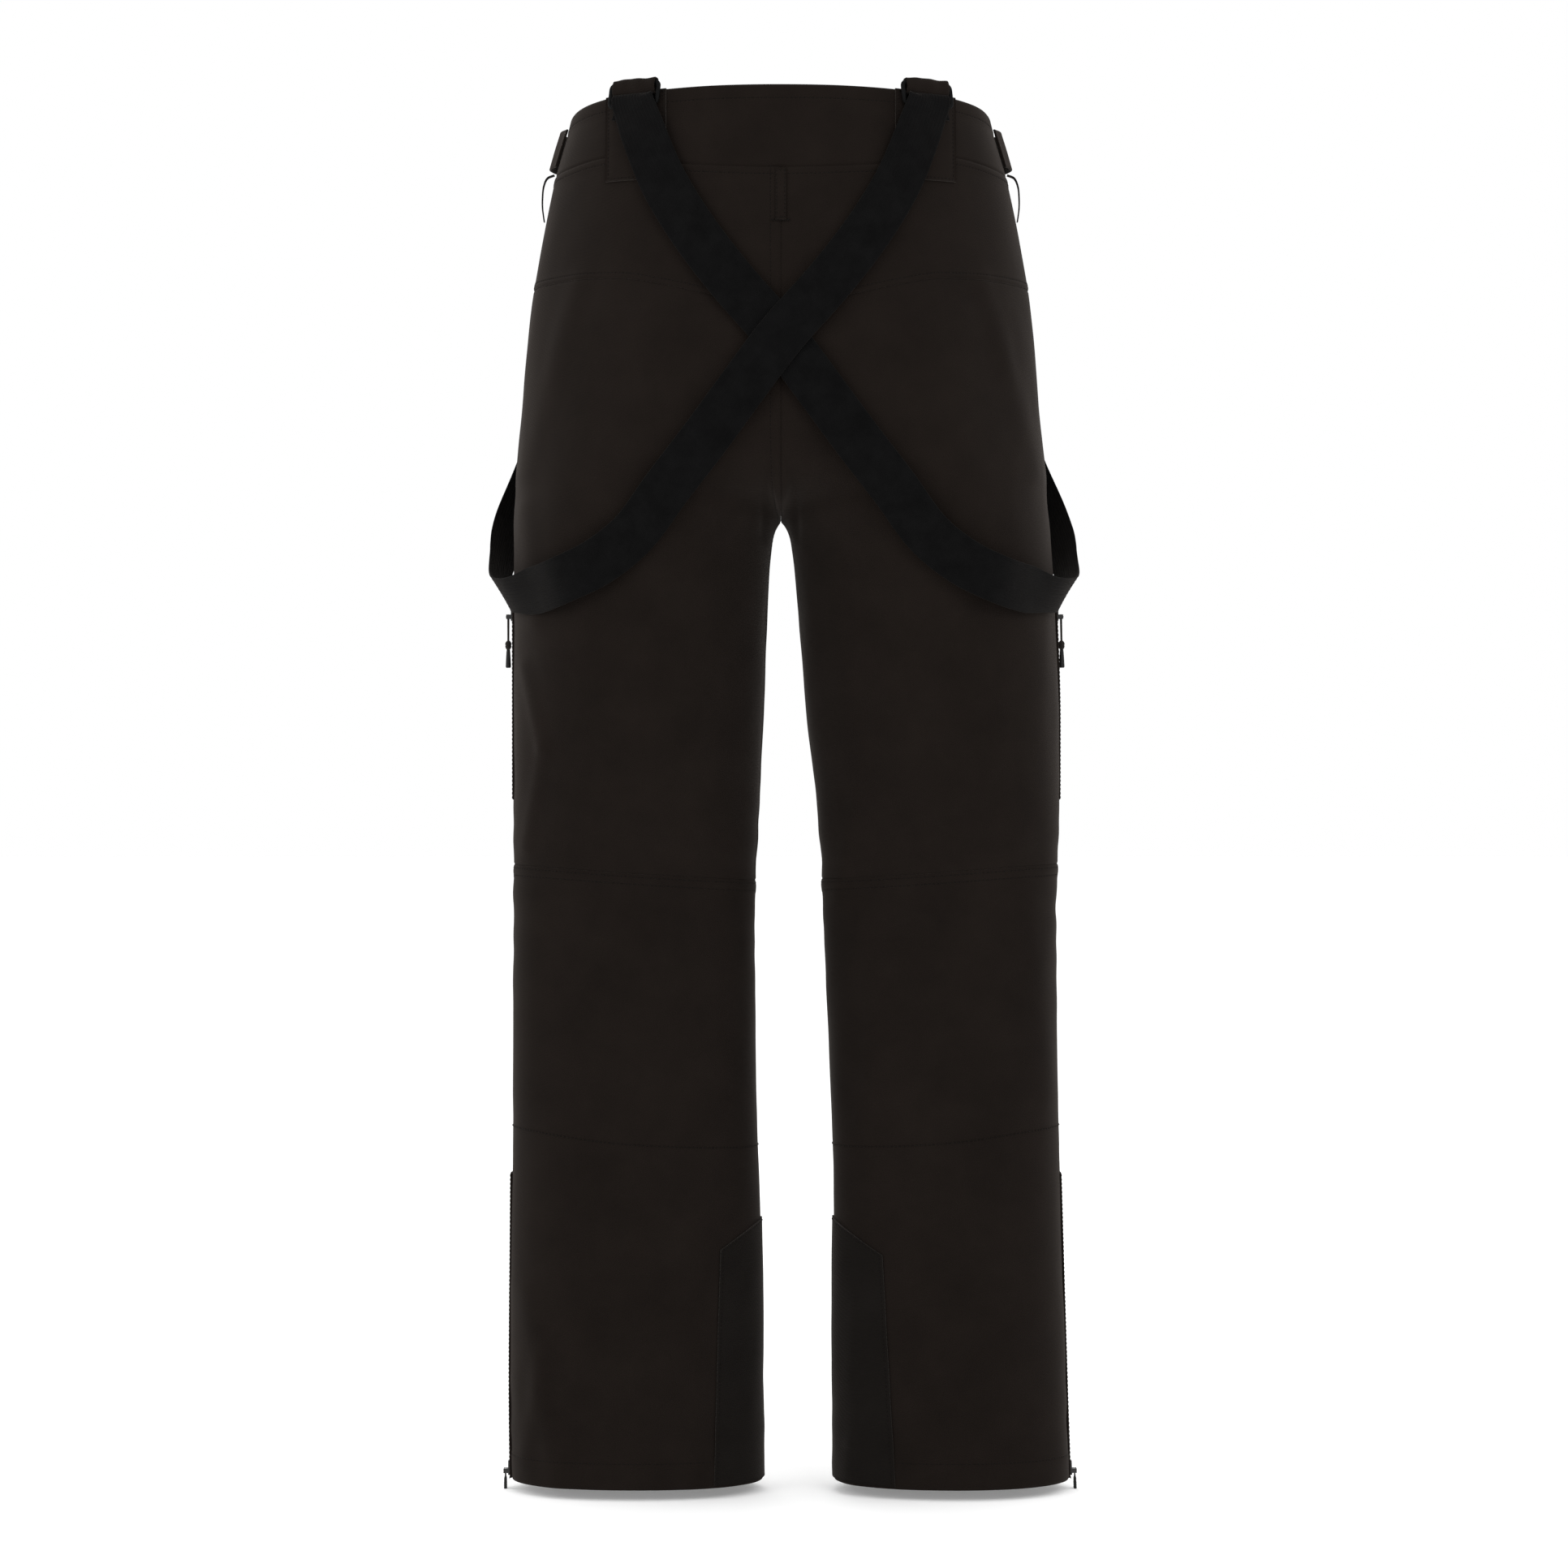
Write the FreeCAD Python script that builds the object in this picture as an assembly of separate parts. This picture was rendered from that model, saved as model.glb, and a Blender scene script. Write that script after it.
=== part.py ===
import FreeCAD, Part
import math
import os

from FreeCAD import Vector

# Ski pants with crossed elastic suspenders, size L, in millimetres.
# +Z is up, the front of the garment faces -Y and the wearer's left is +X.
# The origin is the centre of the waist opening, level with its sloping top edge.

# Body outline, from above the waist to below the hem.  Each row is a height with the inner and
# outer edge of the left half, the same for the right half, and the depth to the front and back.
OUTLINE = [
    (40, -160, 160, -160, 160, 112, 114),
    (-10, -170, 170, -170, 170, 119, 121),
    (-60, -184, 184, -184, 184, 125, 127),
    (-110, -194, 194, -194, 194, 131, 135),
    (-160, -202, 202, -202, 202, 137, 142),
    (-205, -207, 207, -207, 207, 141, 147),
    (-240, -184, 210, -184, 210, 142, 147),
    (-270, -142, 213, -142, 213, 138, 144),
    (-300, -86, 215, -86, 216, 131, 138),
    (-322, -36, 216, -36, 217, 122, 131),
    (-338, 3, 217, 3, 219, 115, 124),
    (-352, 7, 217, 8, 220, 111, 119),
    (-400, 11, 217, 13, 223, 104, 108),
    (-500, 15, 217, 21, 226, 92, 93),
    (-570, 18, 217, 30, 226, 82, 76),
    (-640, 21, 217, 34, 225, 74, 62),
    (-770, 20, 218, 39, 225, 64, 66),
    (-900, 17, 219, 43, 228, 60, 68),
    (-1034, 15, 220, 43, 232, 62, 68),
    (-1150, 14, 219, 43, 235, 64, 68),
]
ROUNDNESS = 2.2          # exponent of the closed section, 2 is an ellipse
SECTION_POINTS = 28
PANEL_COLUMNS = 16       # patches of the surface across half a section

FABRIC = 1.4             # bonded three-layer shell
PATCH = 1.6              # doubled fabric sewn on the outside
HEM = -1113
WAIST_SIDE = -10         # height of the waist edge at the sides
WAIST_TILT = 12 / 118    # rise of that edge towards the back

# Seams as (distance from the centre, height)
BAND_SEAM_BACK = [(0, -64), (70, -61), (135, -51), (184, -57), (260, -60)]
BAND_SEAM_FRONT = [(0, -66), (90, -64), (184, -57), (260, -60)]
YOKE_SEAM = [(0, -177), (56, -165), (95, -156), (128, -150), (160, -149), (205, -149), (260, -149)]
CROTCH_TOP = -207
CROTCH_BOTTOM = -350
CROTCH_SECTIONS = 14
KNEE_TOP = -572
KNEE_BOTTOM = -690

# Suspenders
STRAP_WIDTH = 38
STRAP_THICK = 1.5
RING_WIDTH = 48
RING_HEIGHT = 22
RING_THICK = 3
RING_BAR = 3.6
RING_RISE = 8            # how far the ring stands above the waist edge
RING_OFFSET = 4.0
BACK_RING_X = 114
FRONT_RING_X = 92
CARRIER_WIDTH = 48
CARRIER_BOTTOM = {1: -72, -1: -70}
# Back run of the strap that ends at the left hip: sideways place, height and stand-off
BACK_RUN = [
    (-114, -8, 9.2), (-106, -35, 6.8), (-91, -75, 5.0), (-68, -115, 4.6), (-37, -157, 4.6),
    (0, -200, 4.6), (30, -240, 4.8), (58, -277, 5.4), (88, -314, 6.4), (116, -350, 7.4),
    (142, -372, 9), (168, -386, 13),
]
CROSSING_LIFT = 4.2      # how much further out the upper strap lies at the crossing
CROSSING_REACH = 48
# Round the hip: place and direction that the strap faces, in degrees from +X towards +Y
HIP_RUN = [
    ((197, 77, -393), 58), ((219, 45, -393), 28), ((230, 8, -386), 2),
    ((233, -28, -369), -18), ((227, -58, -338), -36), ((210, -82, -296), -48),
    ((189, -101, -247), -56),
]
FRONT_RUN_LOW = Vector(163, -112.5, -196)
FRONT_RUN_HIGH = Vector(97, -118.5, -52)
FRONT_FACING = -63
FRONT_END_HEIGHT = -30
RING_STAND_OFF = 9.2     # of the strap where it lies over the ring's lower bar
ADJUSTER_START = 0.40    # where the adjuster stands, as a share of the straight front run
ADJUSTER_SIZE = (46, 24, 5.4)

# Zips: sizes of the chain and its slider, in the zip's own frame
SLOT_WIDTH = 16
TAPE_THICK = 0.8
TAPE_TOP = -1.2
COIL_WIDTH = 4.4
COIL_TOP = 0.8
SLIDER = (9, 12)
SLIDER_TOP = 2.6
SLIDER_GAP = 0.4
PIN_RADIUS = 0.8
PIN_HEIGHT = 4.9
PIN_FORWARD = 2.5
EYE_RADIUS = 1.9
EYE_CLEARANCE = 0.1
FLY_HEIGHTS = (-68, -190)
POCKET_LINE = ((60, -84), (118, -204))
THIGH_HEIGHTS = (-402, -558)
ANKLE_TOP = -868
PULL_LENGTH = {"fly": 26, "pocket": 28, "thigh": 44, "ankle": 22}

SEAM_GAP = 0.2           # half the gap left between two panels at a seam
SURFACE_GAP = 0.2        # between the shell and a piece sewn on it
FAR = 300                # beyond the garment on every side, for cutting boxes

# Waist closure, tabs and trims
LAP_NEAR = -32           # how far the left front band laps over the right one
LAP_FAR = 24
LAP_BOTTOM = -62
SNAP_PLACES = [(-18, -36), (-18, -53)]
SNAP_RADIUS = 6.5
POST_RADIUS = 2.0
LINING_GAP = 40
TAB_HEIGHT = 32
TAB_THICK = 1.8
TAB_MIDDLE = -34
TAB_ROUTE = [(0.12, 2.2), (0.0, 5.4), (-0.14, 9.6), (-0.30, 11.4), (-0.46, 10.4), (-0.62, 7.6), (-0.80, 4.8)]
LOOP_PATCH_ANGLES = (-0.1, -0.78)
LOOP_PATCH_HEIGHTS = (-24, -48)
CENTRE_TAB_WIDTH = 8.4
CENTRE_TAB_HEIGHTS = (-65, -107)
FACING_WIDTH = 44        # guard behind the fly zip
FACING_HEIGHTS = (-70, -204)
FACING_DEPTH = 4.4
BAG_ANGLES = (-0.75, -1.35)
BAG_HEIGHTS = (-88, -242)
BAG_DEPTH = 6.0
LOOP_WIDTH = 8
LOOP_THICK = 1.0
LOOP_ROUTE = [(184.2, -53), (190, -55.5), (193, -62), (194, -71), (194, -80), (192.6, -91)]
GUARD_TOP = -900
GUARD_REACH = {1: 0.95, -1: 1.1}
GAITER_TOP = -836
GAITER_BOTTOM = -1086
GAITER_CUFF = (74, 50)   # half width and half depth of the gripping edge

SIDES = {"left": 1, "right": -1}


# ---------- the body's outline ----------

def along(rows, key):
    """Values of a table at this key, by cubic interpolation that never overshoots.

    The first column holds the keys, rising from row to row.
    """
    last = len(rows) - 2
    index = 0
    while index < last and key > rows[index + 1][0]:
        index += 1

    def slope(column, row):
        if row == 0 or row == len(rows) - 1:
            return 0.0
        before = (rows[row][column] - rows[row - 1][column]) / (rows[row][0] - rows[row - 1][0])
        after = (rows[row + 1][column] - rows[row][column]) / (rows[row + 1][0] - rows[row][0])
        if before * after <= 0:
            return 0.0
        return 2 * before * after / (before + after)

    span = rows[index + 1][0] - rows[index][0]
    t = (key - rows[index][0]) / span
    values = []
    for column in range(1, len(rows[0])):
        start, end = rows[index][column], rows[index + 1][column]
        pull_start = slope(column, index) * span
        pull_end = slope(column, index + 1) * span
        values.append(
            start * (2 * t ** 3 - 3 * t ** 2 + 1) + pull_start * (t ** 3 - 2 * t ** 2 + t)
            + end * (3 * t ** 2 - 2 * t ** 3) + pull_end * (t ** 3 - t ** 2)
        )
    return values


def half(side, height):
    """Centre, half width, front depth and back depth of one half's section."""
    row = along(OUTLINE[::-1], height)
    inner, outer = row[0:2] if side > 0 else row[2:4]
    return side * (inner + outer) / 2, (outer - inner) / 2, row[4], row[5]


def outer_edge(side, height):
    """Distance of a half's outer edge from the centre plane."""
    row = along(OUTLINE[::-1], height)
    return row[1] if side > 0 else row[3]


def signed_power(value, power):
    return math.copysign(abs(value) ** power, value)


def on_section(side, height, angle, offset):
    """Point of a half's section; angle runs from its outer edge, positive over the back."""
    centre, width, front, back = half(side, height)
    across = side * signed_power(math.cos(angle), 2 / ROUNDNESS) * (width + offset)
    depth = signed_power(math.sin(angle), 2 / ROUNDNESS)
    depth *= (back if depth > 0 else front) + offset
    return Vector(centre + across, depth, height)


def edge_angle(side, height, face):
    """Angle that leaves half a seam gap at the side seam."""
    depth = half(side, height)[3 if face > 0 else 2]
    return math.asin((SEAM_GAP / depth) ** (ROUNDNESS / 2))


def last_angle(side, height, face, offset):
    """Angle at which a half ends: at the centre plane, or at the inseam below the crotch."""
    centre, width, front, back = half(side, height)
    share = (SEAM_GAP - side * centre) / (width + offset)
    inseam = math.pi - edge_angle(side, height, face)
    if share <= -1:
        return inseam
    return min(math.acos(signed_power(share, ROUNDNESS / 2)), inseam)


def skin_depth(x, height, face):
    centre, width, front, back = half(1 if x >= 0 else -1, height)
    share = min(abs(x - centre) / width, 0.999)
    return (back if face > 0 else front) * (1 - share ** ROUNDNESS) ** (1 / ROUNDNESS)


def skin(x, height, face, offset=0.0):
    """Point on the outer surface and the direction it faces; face is 1 at the back, -1 in front."""
    step = 0.5
    depth = skin_depth(x, height, face)
    across = (skin_depth(x + step, height, face) - skin_depth(x - step, height, face)) / (2 * step)
    rise = (skin_depth(x, height + step, face) - skin_depth(x, height - step, face)) / (2 * step)
    normal = Vector(-across, face, -rise)
    normal.normalize()
    return Vector(x, face * depth, height) + normal * offset, normal


def section_normal(side, height, angle):
    """Direction that the surface faces at this angle of a half's section."""
    step = 0.01
    round_edge = on_section(side, height, angle + step, 0) - on_section(side, height, angle - step, 0)
    down = on_section(side, height - 1, angle, 0) - on_section(side, height + 1, angle, 0)
    normal = round_edge.cross(down)
    centre = Vector(half(side, height)[0], 0, height)
    if normal.dot(on_section(side, height, angle, 0) - centre) < 0:
        normal = normal * -1
    normal.normalize()
    return normal


# ---------- sheets: thin solids between two grids of points ----------

def sheet(point, columns, rows, inside, outside):
    """Solid between point(u, v, inside) and point(u, v, outside), u and v from 0 to 1."""
    surfaces = []
    for offset in (inside, outside):
        grid = []
        for i in range(columns + 1):
            grid.append([point(i / columns, j / rows, offset) for j in range(rows + 1)])
        surface = Part.BSplineSurface()
        surface.interpolate(grid)
        surfaces.append(surface)
    faces = [surface.toShape() for surface in surfaces]
    u0, u1, v0, v1 = surfaces[0].bounds()
    for inner_rim, outer_rim in (
        (surfaces[0].uIso(u0), surfaces[1].uIso(u0)), (surfaces[0].uIso(u1), surfaces[1].uIso(u1)),
        (surfaces[0].vIso(v0), surfaces[1].vIso(v0)), (surfaces[0].vIso(v1), surfaces[1].vIso(v1)),
    ):
        faces.append(Part.makeRuledSurface(inner_rim.toShape(), outer_rim.toShape()))
    shell = Part.makeShell(faces)
    shell.sewShape()
    solid = Part.makeSolid(shell)
    if solid.Volume < 0:
        solid.reverse()
    return solid


def waist_edge(point):
    return WAIST_SIDE + WAIST_TILT * point.y


def seam(rows):
    """Height of a seam as a function of the point where it is asked for."""
    return lambda point: along(rows, abs(point.x))[0]


def level(height):
    return lambda point: height


def settle(line, at, start):
    """Height where the surface column at(height) meets the line."""
    height = start
    for _ in range(8):
        height = line(at(height))
    return height


def panel(side, face, upper, lower, whole=False):
    """Panel between two seams, from the side seam to the inseam, or right across if whole."""
    top_guess = upper(Vector(150, 0, 0))
    bottom_guess = lower(Vector(150, 0, 0))

    def point(u, v, offset):
        def at(height):
            start = edge_angle(side, height, face)
            end = math.pi - start if whole else last_angle(side, height, face, offset)
            return on_section(side, height, face * (start + u * (end - start)), offset)

        top = settle(upper, at, top_guess) - SEAM_GAP
        bottom = settle(lower, at, bottom_guess) + SEAM_GAP
        return at(top + v * (bottom - top))

    rows = max(3, int(abs(top_guess - bottom_guess) / 22))
    return sheet(point, 2 * PANEL_COLUMNS if whole else PANEL_COLUMNS, rows, -FABRIC, 0.0)


def half_panel(side, face, upper, lower):
    """One side of a panel above the crotch, cut off at the centre plane."""
    across = panel(1, face, upper, lower, whole=True)
    return across.common(half_space(side, CROTCH_TOP - 1, -WAIST_SIDE + 20))


def half_space(side, bottom, top):
    """Everything on one side of the centre plane, less half a seam gap."""
    low = SEAM_GAP if side > 0 else -FAR
    return box_between((low, -FAR, bottom), (low + FAR - SEAM_GAP, FAR, top))


def closed_section(side, height, offset):
    points = []
    for index in range(SECTION_POINTS):
        points.append(on_section(side, height, 2 * math.pi * index / SECTION_POINTS, offset))
    curve = Part.BSplineCurve()
    curve.interpolate(Points=points, PeriodicFlag=True)
    return Part.Wire([curve.toShape()])


def crotch_skin(side):
    """Shell of one half where the legs part, lofted whole and cut off at the centre plane."""
    step = (CROTCH_TOP - CROTCH_BOTTOM) / CROTCH_SECTIONS
    heights = [CROTCH_TOP - step * index for index in range(CROTCH_SECTIONS + 1)]
    outer = Part.makeLoft([closed_section(side, h, 0.0) for h in heights], True, False)
    inner = Part.makeLoft([closed_section(side, h, -FABRIC) for h in heights], True, False)
    return outer.cut(inner).common(half_space(side, CROTCH_BOTTOM - 1, CROTCH_TOP + 1))


def long_panel(side, face, upper, lower, crotch):
    """Panel from the hips past the crotch: torso part, crotch part and leg part."""
    near, far = sorted((face * SEAM_GAP, face * FAR))
    middle = crotch.common(box_between((-FAR, near, CROTCH_BOTTOM - 1), (FAR, far, CROTCH_TOP + 1)))
    above = half_panel(side, face, upper, level(CROTCH_TOP + SEAM_GAP))
    below = panel(side, face, level(CROTCH_BOTTOM - SEAM_GAP), lower)
    return Part.makeCompound(above.Solids + middle.Solids + [below])


def strip(x_range, face, upper, lower, inside, outside, columns=8):
    """Narrow piece laid on the skin between two sideways places."""
    def point(u, v, offset):
        x = x_range[0] + u * (x_range[1] - x_range[0])

        def at(height):
            return skin(x, height, face)[0]

        top, bottom = settle(upper, at, -10), settle(lower, at, -60)
        return skin(x, top + v * (bottom - top), face, offset)[0]

    rows = max(3, int(abs(upper(Vector(0, 0, 0)) - lower(Vector(0, 0, 0))) / 15))
    return sheet(point, columns, rows, inside, outside)


def arc_strip(side, angles, upper, lower, inside, outside, columns=12):
    """Piece laid on the skin between two angles of the section."""
    def point(u, v, offset):
        angle = angles[0] + u * (angles[1] - angles[0])

        def at(height):
            return on_section(side, height, angle, offset)

        top, bottom = settle(upper, at, -10), settle(lower, at, -60)
        return at(top + v * (bottom - top))

    rows = max(3, int(abs(upper(Vector(0, 0, 0)) - lower(Vector(0, 0, 0))) / 20))
    return sheet(point, columns, rows, inside, outside)


# ---------- blocks and placing ----------

def box_between(low, high):
    size = [high[i] - low[i] for i in range(3)]
    return Part.makeBox(size[0], size[1], size[2], Vector(*low))


def frame_at(origin, across, outward):
    """Placement whose x runs across, z faces outward and y follows from them."""
    z_axis = Vector(outward)
    z_axis.normalize()
    x_axis = Vector(across)
    x_axis = x_axis - z_axis * x_axis.dot(z_axis)
    x_axis.normalize()
    y_axis = z_axis.cross(x_axis)
    return FreeCAD.Placement(origin, FreeCAD.Rotation(x_axis, y_axis, z_axis, "ZXY"))


def placed(shape, placement):
    moved = shape.copy()
    moved.Placement = placement.multiply(moved.Placement)
    return moved


# ---------- bands ----------

def ribbon(route, width, thickness, smooth=False):
    """Flat band along route, a list of (centre, direction it faces)."""
    sections = []
    for index, (centre, outward) in enumerate(route):
        before = route[max(index - 1, 0)][0]
        after = route[min(index + 1, len(route) - 1)][0]
        run = after - before
        run.normalize()
        normal = outward - run * outward.dot(run)
        normal.normalize()
        across = run.cross(normal) * (width / 2)
        depth = normal * (thickness / 2)
        corners = [centre - across - depth, centre + across - depth]
        corners += [centre + across + depth, centre - across + depth]
        sections.append(Part.makePolygon(corners + corners[:1]))
    return Part.makeLoft(sections, True, not smooth)


def facing(degrees, side=1):
    return Vector(side * math.cos(math.radians(degrees)), math.sin(math.radians(degrees)), 0)


def mirror_x(vector, side):
    return Vector(side * vector.x, vector.y, vector.z)


def front_run(side):
    """Ends and facing direction of the straight front run of a strap."""
    low = mirror_x(FRONT_RUN_LOW, side)
    high = mirror_x(FRONT_RUN_HIGH, side)
    return low, high, facing(FRONT_FACING, side)


def strap(side):
    """Elastic strap from the ring on the other side of the back, over the hip, to this side's front."""
    lift = CROSSING_LIFT if side > 0 else 0
    route = []
    for x, z, stand_off in BACK_RUN:
        nearness = math.exp(-(x / CROSSING_REACH) ** 2)
        route.append(skin(side * x, z, 1, stand_off + lift * nearness))
    for (x, y, z), degrees in HIP_RUN:
        wider = outer_edge(side, z) - outer_edge(1, z)
        route.append((Vector(side * (x + wider), y, z), facing(degrees, side)))
    low, high, normal = front_run(side)
    for share in (0, 0.04, 0.35, 0.65, 0.96, 1):
        route.append((low + (high - low) * share, normal))
    end, end_normal = skin(side * FRONT_RING_X, FRONT_END_HEIGHT, -1, RING_STAND_OFF)
    route.append((end, end_normal))
    return ribbon(route, STRAP_WIDTH, STRAP_THICK)


def ring(x, face):
    """Rectangular ring at the waist edge, its lower bar behind the strap."""
    top = WAIST_SIDE + WAIST_TILT * skin(x, WAIST_SIDE, face)[0].y
    centre, normal = skin(x, top - RING_HEIGHT / 2 + RING_RISE, face, RING_OFFSET)
    outer = Part.makeBox(RING_WIDTH, RING_HEIGHT, RING_THICK)
    outer.translate(Vector(-RING_WIDTH / 2, -RING_HEIGHT / 2, -RING_THICK / 2))
    hole_x, hole_y = RING_WIDTH - 2 * RING_BAR, RING_HEIGHT - 2 * RING_BAR
    hole = Part.makeBox(hole_x, hole_y, 3 * RING_THICK)
    hole.translate(Vector(-hole_x / 2, -hole_y / 2, -1.5 * RING_THICK))
    upright = [edge for edge in outer.Edges if abs(edge.tangentAt(edge.FirstParameter).z) > 0.9]
    rounded = outer.makeFillet(3, upright).cut(hole)
    return placed(rounded, frame_at(centre, Vector(0, 0, 1).cross(normal), normal))


def adjuster(side):
    """Three-bar slide on the straight front run: the strap runs through it."""
    low, high, normal = front_run(side)
    centre = high + (low - high) * ADJUSTER_START
    run = low - high
    across, length, thick = ADJUSTER_SIZE
    body = box_between((-across / 2, -length / 2, -thick / 2), (across / 2, length / 2, thick / 2))
    rims = [edge for edge in body.Edges if abs(edge.tangentAt(edge.FirstParameter).z) > 0.9]
    body = body.makeFillet(4, rims)
    passage = STRAP_THICK / 2 + 0.5
    reach = STRAP_WIDTH / 2 + 0.6
    body = body.cut(box_between((-reach, -length, -passage), (reach, length, passage)))
    for start in (-9, 2):
        body = body.cut(box_between((-reach, start, 0), (reach, start + 7, thick)))
    outward = normal - run * (normal.dot(run) / run.dot(run))
    return placed(body, frame_at(centre, run.cross(outward), outward))


# ---------- zips ----------

def zip_frames():
    """Name, top, bottom, facing direction, travel sign and pull length of every zip."""
    zips = {}
    top, bottom = [skin(0, height, -1)[0] for height in FLY_HEIGHTS]
    zips["fly"] = (top, bottom, Vector(0, -1, 0), 1, PULL_LENGTH["fly"])
    (high_x, high_z), (low_x, low_z) = POCKET_LINE
    for name, side in SIDES.items():
        top = skin(side * high_x, high_z, -1)[0]
        bottom = skin(side * low_x, low_z, -1)[0]
        outward = skin(side * (high_x + low_x) / 2, (high_z + low_z) / 2, -1)[1]
        zips["pocket_" + name] = (top, bottom, outward, 1, PULL_LENGTH["pocket"])
        for kind, (start, end) in (("thigh", THIGH_HEIGHTS), ("ankle", (ANKLE_TOP, HEM))):
            points = []
            for height in (start, end):
                centre, width, front, back = half(side, height)
                points.append(Vector(centre + side * width, 0, height))
            travel = 1 if kind == "thigh" else -1
            zips[kind + "_" + name] = (points[0], points[1], Vector(side, 0, 0), travel, PULL_LENGTH[kind])
    return zips


def zip_placement(top, bottom, outward):
    """Frame at the chain's top: y runs down the chain and z faces outward."""
    run = bottom - top
    run.normalize()
    normal = outward - run * outward.dot(run)
    return frame_at(top, run.cross(normal), normal), (bottom - top).Length


def zip_slot(zip_row):
    place, length = zip_placement(*zip_row[:3])
    slot = box_between((-SLOT_WIDTH / 2, 0, -22), (SLOT_WIDTH / 2, length, 22))
    return placed(slot, place)


def zip_chain(zip_row):
    """Closed zip: two tapes and the coil, with a stop at each end."""
    place, length = zip_placement(*zip_row[:3])
    edge = SLOT_WIDTH / 2 - 0.2
    tapes = [
        box_between((-edge, 0.2, TAPE_TOP - TAPE_THICK), (0, length - 0.2, TAPE_TOP)),
        box_between((0, 0.2, TAPE_TOP - TAPE_THICK), (edge, length - 0.2, TAPE_TOP)),
    ]
    coil = box_between((-COIL_WIDTH / 2, 1.5, TAPE_TOP), (COIL_WIDTH / 2, length - 1.5, COIL_TOP))
    solids = [placed(shape, place) for shape in tapes + [coil]]
    return Part.makeCompound(solids)


def slider_place(zip_row):
    """Frame at the slider, which stands at the closed end of its chain."""
    place, length = zip_placement(*zip_row[:3])
    rest = SLIDER[1] / 2 + 2
    down = rest if zip_row[3] > 0 else length - rest
    return place.multiply(FreeCAD.Placement(Vector(0, down, 0), FreeCAD.Rotation()))


def slider(zip_row):
    width, length = SLIDER
    body = box_between((-width / 2, -length / 2, TAPE_TOP + SLIDER_GAP), (width / 2, length / 2, SLIDER_TOP))
    corners = [edge for edge in body.Edges if abs(edge.tangentAt(edge.FirstParameter).z) > 0.9]
    body = body.makeFillet(2.2, corners)
    groove = COIL_WIDTH / 2 + SLIDER_GAP
    body = body.cut(box_between((-groove, -length, -5), (groove, length, COIL_TOP + SLIDER_GAP)))
    for start in (-3.4, 2.0):
        low = (start, PIN_FORWARD - 1.8, SLIDER_TOP - 0.2)
        body = body.fuse(box_between(low, (start + 1.4, PIN_FORWARD + 1.8, PIN_HEIGHT + 1.6)))
    pin = Part.makeCylinder(PIN_RADIUS, 6.8, Vector(-3.4, PIN_FORWARD, PIN_HEIGHT), Vector(1, 0, 0))
    return placed(body.fuse(pin).removeSplitter(), slider_place(zip_row))


def pull(zip_row, corded):
    """Pull with an eye round the slider's pin; the thigh pulls are a cord with a flared end."""
    length = zip_row[4]
    eye_start = Vector(-1.7, PIN_FORWARD, PIN_HEIGHT)
    eye = Part.makeCylinder(EYE_RADIUS, 3.4, eye_start, Vector(1, 0, 0))
    stem_start = PIN_FORWARD + EYE_RADIUS - 0.5
    if corded:
        down = Vector(0, 1, 0)
        stem = Part.makeCylinder(1.3, length - 14, Vector(0, stem_start, PIN_HEIGHT), down)
        knot = Part.makeSphere(2.8, Vector(0, stem_start + length - 18, PIN_HEIGHT))
        flare = Part.makeCone(1.8, 3.3, 13, Vector(0, length - 12, PIN_HEIGHT), down)
        body = eye.fuse(stem).fuse(knot).fuse(flare)
    else:
        stem = box_between((-1.7, stem_start, PIN_HEIGHT - 0.7), (1.7, 9, PIN_HEIGHT + 0.7))
        grip = box_between((-3.2, 8, PIN_HEIGHT - 1.3), (3.2, length, PIN_HEIGHT + 1.3))
        upright = [edge for edge in grip.Edges if abs(edge.tangentAt(edge.FirstParameter).z) > 0.9]
        body = eye.fuse(stem).fuse(grip.makeFillet(2, upright))
    bore_start = Vector(-5, PIN_FORWARD, PIN_HEIGHT)
    bore = Part.makeCylinder(PIN_RADIUS + EYE_CLEARANCE, 10, bore_start, Vector(1, 0, 0))
    return placed(body.cut(bore).removeSplitter(), slider_place(zip_row))


# ---------- fabric panels ----------

def waistband_back():
    return panel(1, 1, waist_edge, seam(BAND_SEAM_BACK), whole=True)


def snap_axis(place):
    point, normal = skin(place[0], place[1], -1)
    return point, normal


def waistband_front(side):
    """Front band of one side; the left one carries the lap that closes over the right one."""
    layers = [half_panel(side, -1, waist_edge, seam(BAND_SEAM_FRONT))]
    if side > 0:
        reach = (LAP_NEAR, LAP_FAR)
        layers.append(strip(reach, -1, waist_edge, level(LAP_BOTTOM), SURFACE_GAP, SURFACE_GAP + FABRIC))
    for place in SNAP_PLACES:
        point, normal = snap_axis(place)
        hole = Part.makeCylinder(POST_RADIUS, 20, point - normal * 10, normal)
        layers = [fabric.cut(hole) for fabric in layers]
    solids = [solid for fabric in layers for solid in fabric.Solids]
    return Part.makeCompound(solids)


def snaps():
    """Two press snaps: a cap with its post, and the socket behind the under band."""
    solids = []
    for place in SNAP_PLACES:
        point, normal = snap_axis(place)
        cap = Part.makeCylinder(SNAP_RADIUS, 1.6, point + normal * (FABRIC + 0.4), normal)
        cap = cap.makeFillet(0.7, [cap.Edges[0]])
        post = Part.makeCylinder(POST_RADIUS - 0.05, 2 * FABRIC + 2.4, point - normal * (FABRIC + 1.8), normal)
        solids.append(cap.fuse(post).removeSplitter())
        seat = point - normal * (FABRIC + 1.9)
        socket = Part.makeCylinder(SNAP_RADIUS - 1, 1.4, seat, normal)
        solids.append(socket.cut(Part.makeCylinder(POST_RADIUS, 8, seat - normal * 4, normal)))
    return Part.makeCompound(solids)


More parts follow.
